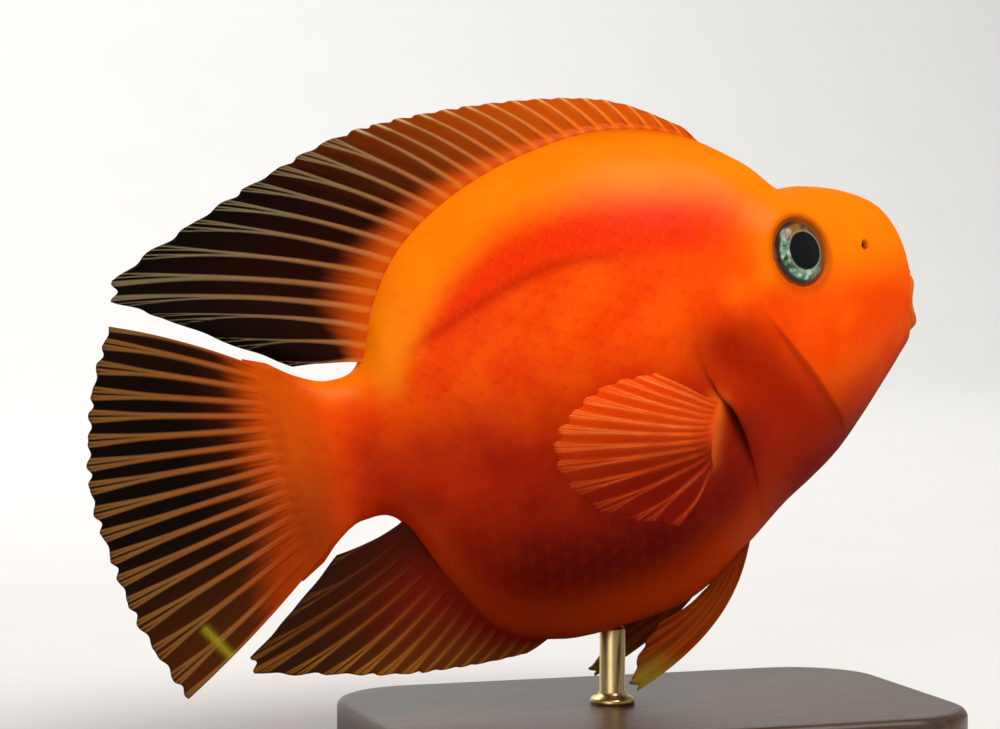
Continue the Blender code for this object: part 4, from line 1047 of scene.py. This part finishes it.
def dorsal_material():
    """Solid orange in front, turning to tan rays on a dark membrane behind."""
    paint, streaks, joints = fin_paint("dorsal_paint")
    behind = paint.step(0.18, 0.80, paint.plus(streaks, 0.14, "place"))
    front_web = paint.mix((0.50, 0.055, 0.001), (0.74, 0.125, 0.003), streaks)
    front_ray = paint.mix((0.82, 0.14, 0.003), (0.80, 0.27, 0.04), "out")
    rear_web = paint.mix((0.020, 0.003, 0.001), (0.003, 0.002, 0.001), "out")
    rear_ray = paint.mix((0.36, 0.085, 0.010), (0.15, 0.115, 0.055), paint.step(0.20, 0.80, "out"))
    rear_ray = paint.mix(rear_ray, paint.mix((0.10, 0.06, 0.02), (0.30, 0.22, 0.11), streaks), 0.45)
    root = paint.fade(0.04, 0.30, paint.plus(streaks, 0.10, "out"))
    web = paint.mix(paint.mix(front_web, rear_web, behind), (0.62, 0.075, 0.002), paint.times(root, 0.9))
    ray = paint.mix(paint.mix(front_ray, rear_ray, behind), (0.80, 0.15, 0.004), paint.times(root, 0.72))
    paint.colour = paint.mix(web, ray, paint.mix("glow", paint.step(0.30, 1.0, "glow"), behind))
    paint.over((0.72, 0.50, 0.22), paint.step(0.80, 0.98, "out"), "glow", "spiny", 0.7)
    paint.over((0.05, 0.02, 0.01), paint.step(0.40, 0.55, joints), behind, "glow", 0.14)
    return finish_fin(paint, streaks, joints)


def caudal_material():
    """Flesh over the roots, then brown rays on a dark membrane, browner at the lower edge."""
    paint, streaks, joints = fin_paint("caudal_paint")
    reach = paint.plus("edge", -0.22, paint.plus(streaks, 0.20, "out"))
    bare = paint.step(0.12, 0.42, reach)
    web = paint.mix((0.040, 0.006, 0.001), (0.004, 0.002, 0.001), paint.step(0.15, 0.55, "out"))
    web = paint.mix(web, (0.075, 0.016, 0.002), paint.times("edge", 0.8))
    ray = paint.mix((0.42, 0.065, 0.004), (0.17, 0.070, 0.016), paint.step(0.15, 0.85, "out"))
    ray = paint.mix(ray, paint.mix((0.10, 0.025, 0.004), (0.34, 0.15, 0.04), streaks), 0.4)
    paint.colour = paint.mix(web, ray, paint.step(0.22, 1.0, "glow"))
    paint.over(tail_flesh(paint), paint.less(1.0, bare))
    paint.over((0.28, 0.24, 0.010), "patch", 0.85)
    paint.over((0.03, 0.01, 0.005), paint.step(0.40, 0.55, joints), "glow", bare, 0.16)
    return finish_fin(paint, streaks, joints)


def anal_material():
    """Dark red, with rays that turn brown outwards and a dark rear."""
    paint, streaks, joints = fin_paint("anal_paint")
    margin = paint.mix((0.12, 0.026, 0.002), (0.020, 0.006, 0.002), paint.step(0.40, 0.80, "place"))
    web = paint.mix((0.12, 0.008, 0.001), margin, paint.step(0.1, 0.9, "out"))
    ray = paint.mix((0.22, 0.020, 0.002), (0.38, 0.135, 0.014), paint.step(0.25, 1.0, "out"))
    ray = paint.mix(ray, paint.mix((0.06, 0.012, 0.002), (0.30, 0.12, 0.02), streaks), 0.35)
    paint.colour = paint.mix(web, ray, "glow")
    paint.over((0.17, 0.006, 0.001), paint.fade(0.0, 0.40, "out"))
    paint.over((0.026, 0.006, 0.002), paint.step(0.62, 0.95, "place"), 0.75)
    return finish_fin(paint, streaks, joints)


def pectoral_material():
    """Half clear, so that the flank shows through; bright above with painted highlights on the rays, and
    dark red below as painted shade.
    """
    paint, streaks, joints = fin_paint("pectoral_paint", 0.35)
    # painted shade over the lower part of the fin
    low = paint.step(0.30, 0.85, "place")
    web = paint.mix((0.95, 0.075, 0.002), (0.20, 0.007, 0.001), low)
    # painted highlights along the rays, paler in streaks; the lower rays get the painted shade
    ray = paint.mix((0.95, 0.090, 0.004), (1.0, 0.24, 0.045), paint.step(0.3, 0.7, streaks))
    ray = paint.mix(ray, (0.34, 0.016, 0.001), paint.times(low, 0.85))
    paint.colour = paint.mix(web, ray, paint.times("glow", paint.step(-0.10, 0.60, "out")))
    bright = paint.step(0.42, 0.70, paint.noise(9.0, 2.0))
    alpha = paint.plus("glow", paint.plus(bright, 0.34, 0.20), 0.42)
    alpha = paint.math("MAXIMUM", alpha, paint.fade(0.02, 0.22, "out"))
    return finish_fin(paint, streaks, joints, Alpha=alpha)


def pelvic_material():
    """Deep orange red, with a yellow-green tip on the front rays."""
    paint, streaks, joints = fin_paint("pelvic_paint")
    web = paint.mix((0.20, 0.024, 0.001), (0.11, 0.010, 0.001), "out")
    ray = paint.mix((0.20, 0.022, 0.001), (0.22, 0.040, 0.002), streaks)
    paint.colour = paint.mix(web, ray, "glow")
    tip = paint.step(0.74, 1.02, paint.plus(streaks, 0.12, "out"))
    paint.over((0.20, 0.15, 0.012), tip, paint.fade(0.30, 0.62, "place"), 0.8)
    return finish_fin(paint, streaks, joints)


def tail_marks(values, middle):
    """The tail fin's yellow-green patch, the height of its points, and its browner edges."""
    patch = bell(segment_distance(middle[..., :2], TAIL_PATCH)[0], 0.8)
    edge = np.maximum(0.15 * bell(values["place"], 0.12), bell(values["place"] - 1.0, 0.20))
    return {"patch": patch, "high": smooth(-12.0, 10.0, middle[..., 1]), "edge": edge}


def make_fins():
    dorsal = unpaired(DORSAL_MARGIN, RIDGE, *DORSAL_ROOT, DORSAL_SPINES, DORSAL_SOFT, DORSAL_SWAY)
    look = {"grid": (22, 44), "scallop": 0.022, "sink": 1.0, "foot": 1.0, "broad": 1.25}
    make_fin("dorsal_sail", "dorsal_fin", dorsal, dorsal_material(), **look)
    anal = unpaired(ANAL_MARGIN, KEEL, *ANAL_ROOT, ANAL_SPINES, ANAL_SOFT, ANAL_SWAY)
    make_fin("anal_sail", "anal_fin", anal, anal_material(), grid=(20, 36), scallop=0.022, sink=1.0)
    look = {"grid": (24, 48), "scallop": 0.018, "sink": 2.5, "foot": 1.2, "broad": 1.2}
    make_fin("tail_fan", "caudal_fin", caudal_rays(), caudal_material(), marks=tail_marks, **look)
    paddle, vane = pectoral_material(), pelvic_material()
    for suffix, out in (("_right", -1.0), ("_left", 1.0)):
        make_fin("pectoral_paddle" + suffix, "pectoral_fin" + suffix, pectoral_rays(out), paddle, foot=1.1)
        make_fin("pelvic_vane" + suffix, "pelvic_fin" + suffix, pelvic_rays(out), vane)


# Stand

def walnut():
    paint = Paint("walnut", Specular_IOR_Level=0.4, Coat_Weight=0.2, Coat_Roughness=0.25)
    rings = paint.noise(5.0, 5.0, paint.place((0.10, 1.0, 1.0)), 0.6)
    bands = paint.math("PINGPONG", paint.math("FRACT", paint.times(rings, 7.0)), 0.5)
    fibre = paint.noise(0.5, 4.0, paint.place((0.05, 1.0, 1.0)), 0.7)
    paint.colour = paint.mix((0.040, 0.017, 0.008), (0.115, 0.052, 0.024), bands)
    paint.over((0.018, 0.008, 0.004), paint.step(0.5, 0.75, fibre), 0.7)
    return paint.finish(Roughness=paint.plus(fibre, 0.2, 0.32), Normal=paint.bump(fibre, 0.06, 0.5))


def brass():
    paint = Paint("brass", Metallic=1.0)
    lines = paint.noise(0.35, 3.0, paint.place((1.0, 1.0, 0.02)), 0.6)
    paint.colour = paint.mix((0.62, 0.43, 0.16), (0.78, 0.60, 0.28), lines)
    paint.over((0.36, 0.24, 0.10), paint.step(0.5, 0.8, paint.noise(7.0, 3.0)), 0.5)
    return paint.finish(Roughness=paint.plus(lines, 0.2, 0.2), Normal=paint.bump(lines, 0.03, 0.4))


def lathed(name, node, outline, levels, material):
    """A closed body from one outline (columns, 2) in millimetres and levels of (scale in
    x, scale in y, height)."""
    rings = np.array([point(outline[:, 0] * sx, outline[:, 1] * sy, z) for sx, sy, z in levels]) * MM
    rows, columns = rings.shape[:2]
    faces = list(grid_faces(rows, columns, True))
    uv = [grid_uv(rows, columns, True) * 0.5]
    for first, way in ((0, -1), ((rows - 1) * columns, 1)):
        faces.append(tuple(first + k for k in range(columns))[::way])
        flat = outline / np.abs(outline).max() * 0.2 + (0.75, 0.25 if first else 0.75)
        uv.append(flat[::way])
    return piece(name, rings, faces, uv, {}, material, node, (node,))


def make_stand():
    angle = 2 * math.pi * (np.arange(BASE_SIDES) + 0.5) / BASE_SIDES
    x = np.copysign(BASE_LENGTH / 2 - BASE_CORNER, np.cos(angle)) + BASE_CORNER * np.cos(angle)
    y = np.copysign(BASE_WIDTH / 2 - BASE_CORNER, np.sin(angle)) + BASE_CORNER * np.sin(angle)
    levels = [(1 - 2 * inset / BASE_LENGTH, 1 - 2 * inset / BASE_WIDTH, z) for inset, z in BASE_EDGE]
    base = lathed("plinth", "stand_base", np.stack((x, y), -1), levels, walnut())
    base.data.transform(Matrix.Translation((BASE_AHEAD * MM, 0.0, 0.0)))
    for face in base.data.polygons:
        face.use_smooth = abs(face.normal.z) < 0.99
    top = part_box("stand_rod")[1].z / MM - 0.35
    turn = 2 * math.pi * np.arange(ROD_SIDES) / ROD_SIDES
    circle = np.stack((np.cos(turn), np.sin(turn)), -1) * ROD_RADIUS
    levels = [(wide, wide, z) for wide, z in ROD_FOOT + [(1.0, top - 0.5), (0.9, top), (0.6, top + 0.3)]]
    lathed("rod", "stand_rod", circle, levels, brass())


# Studio

def make_floor():
    """A pale floor that sweeps up behind, far from the model."""
    turn = np.linspace(0.0, math.pi / 2, 24)
    sweep = [(1.1 + 0.9 * math.sin(a), 0.9 - 0.9 * math.cos(a)) for a in turn]
    rows = [(-FLOOR_REACH, 0.0), *sweep, (2.0, 3.2)]
    points = [(x, y, z) for y, z in rows for x in (-FLOOR_REACH, FLOOR_REACH)]
    mesh = bpy.data.meshes.new("floor")
    mesh.from_pydata(points, [], grid_faces(len(rows), 2, False).tolist())
    mesh.polygons.foreach_set("use_smooth", np.ones(len(mesh.polygons), bool))
    paint = Paint("floor_paint", Roughness=0.75, Specular_IOR_Level=0.2)
    paint.colour = paint.mix((0.76, 0.75, 0.735), (0.79, 0.78, 0.765), paint.noise(60.0, 3.0))
    mesh.materials.append(paint.finish())
    floor = add_object("floor", mesh)


def look_at(thing, at, aim):
    thing.location = at
    thing.rotation_euler = (Vector(aim) - Vector(at)).to_track_quat("-Z", "Y").to_euler()


def make_light(name, at, aim, size, power, colour):
    data = bpy.data.lights.new(name, "AREA")
    data.shape, data.size, data.energy, data.color = "DISK", size, power, colour
    look_at(add_object(name, data), at, aim)


def make_studio():
    middle = (0.0, 0.0, 0.07)
    make_light("key", (0.25, -0.55, 1.0), middle, 0.6, 10.5, (1.0, 0.97, 0.93))
    make_light("fill", (-0.7, -0.9, 0.35), middle, 0.8, 2.4, (0.96, 0.97, 1.0))
    make_light("rim", (-0.4, 0.8, 0.8), middle, 0.5, 2.5, (1.0, 0.98, 0.95))
    make_light("backdrop", (0.0, 0.75, 1.5), (0.0, 2.0, 0.7), 1.0, 22.0, (1.0, 0.99, 0.97))
    world = bpy.data.worlds.new("studio")
    world.use_nodes = True
    sky = world.node_tree.nodes["Background"]
    sky.inputs["Color"].default_value = (0.95, 0.97, 1.0, 1.0)
    sky.inputs["Strength"].default_value = 0.30
    bpy.context.scene.world = world
    bpy.context.scene.view_settings.view_transform = "Standard"


def make_camera():
    """At the photo's viewing angle: a little ahead of the fish's right side, level."""
    data = bpy.data.cameras.new("camera")
    data.lens, data.sensor_width = LENS, SENSOR_WIDTH
    camera = add_object("camera", data)
    look_at(camera, (MOUTH_AT + CAMERA_FROM_MOUTH) * MM, (MOUTH_AT + AIM_FROM_MOUTH) * MM)
    bpy.context.scene.camera = camera


make_skin()
glass = eye_material()
make_eye(True, glass)
make_eye(False, glass)
make_fins()
make_stand()
make_floor()
make_studio()
make_camera()
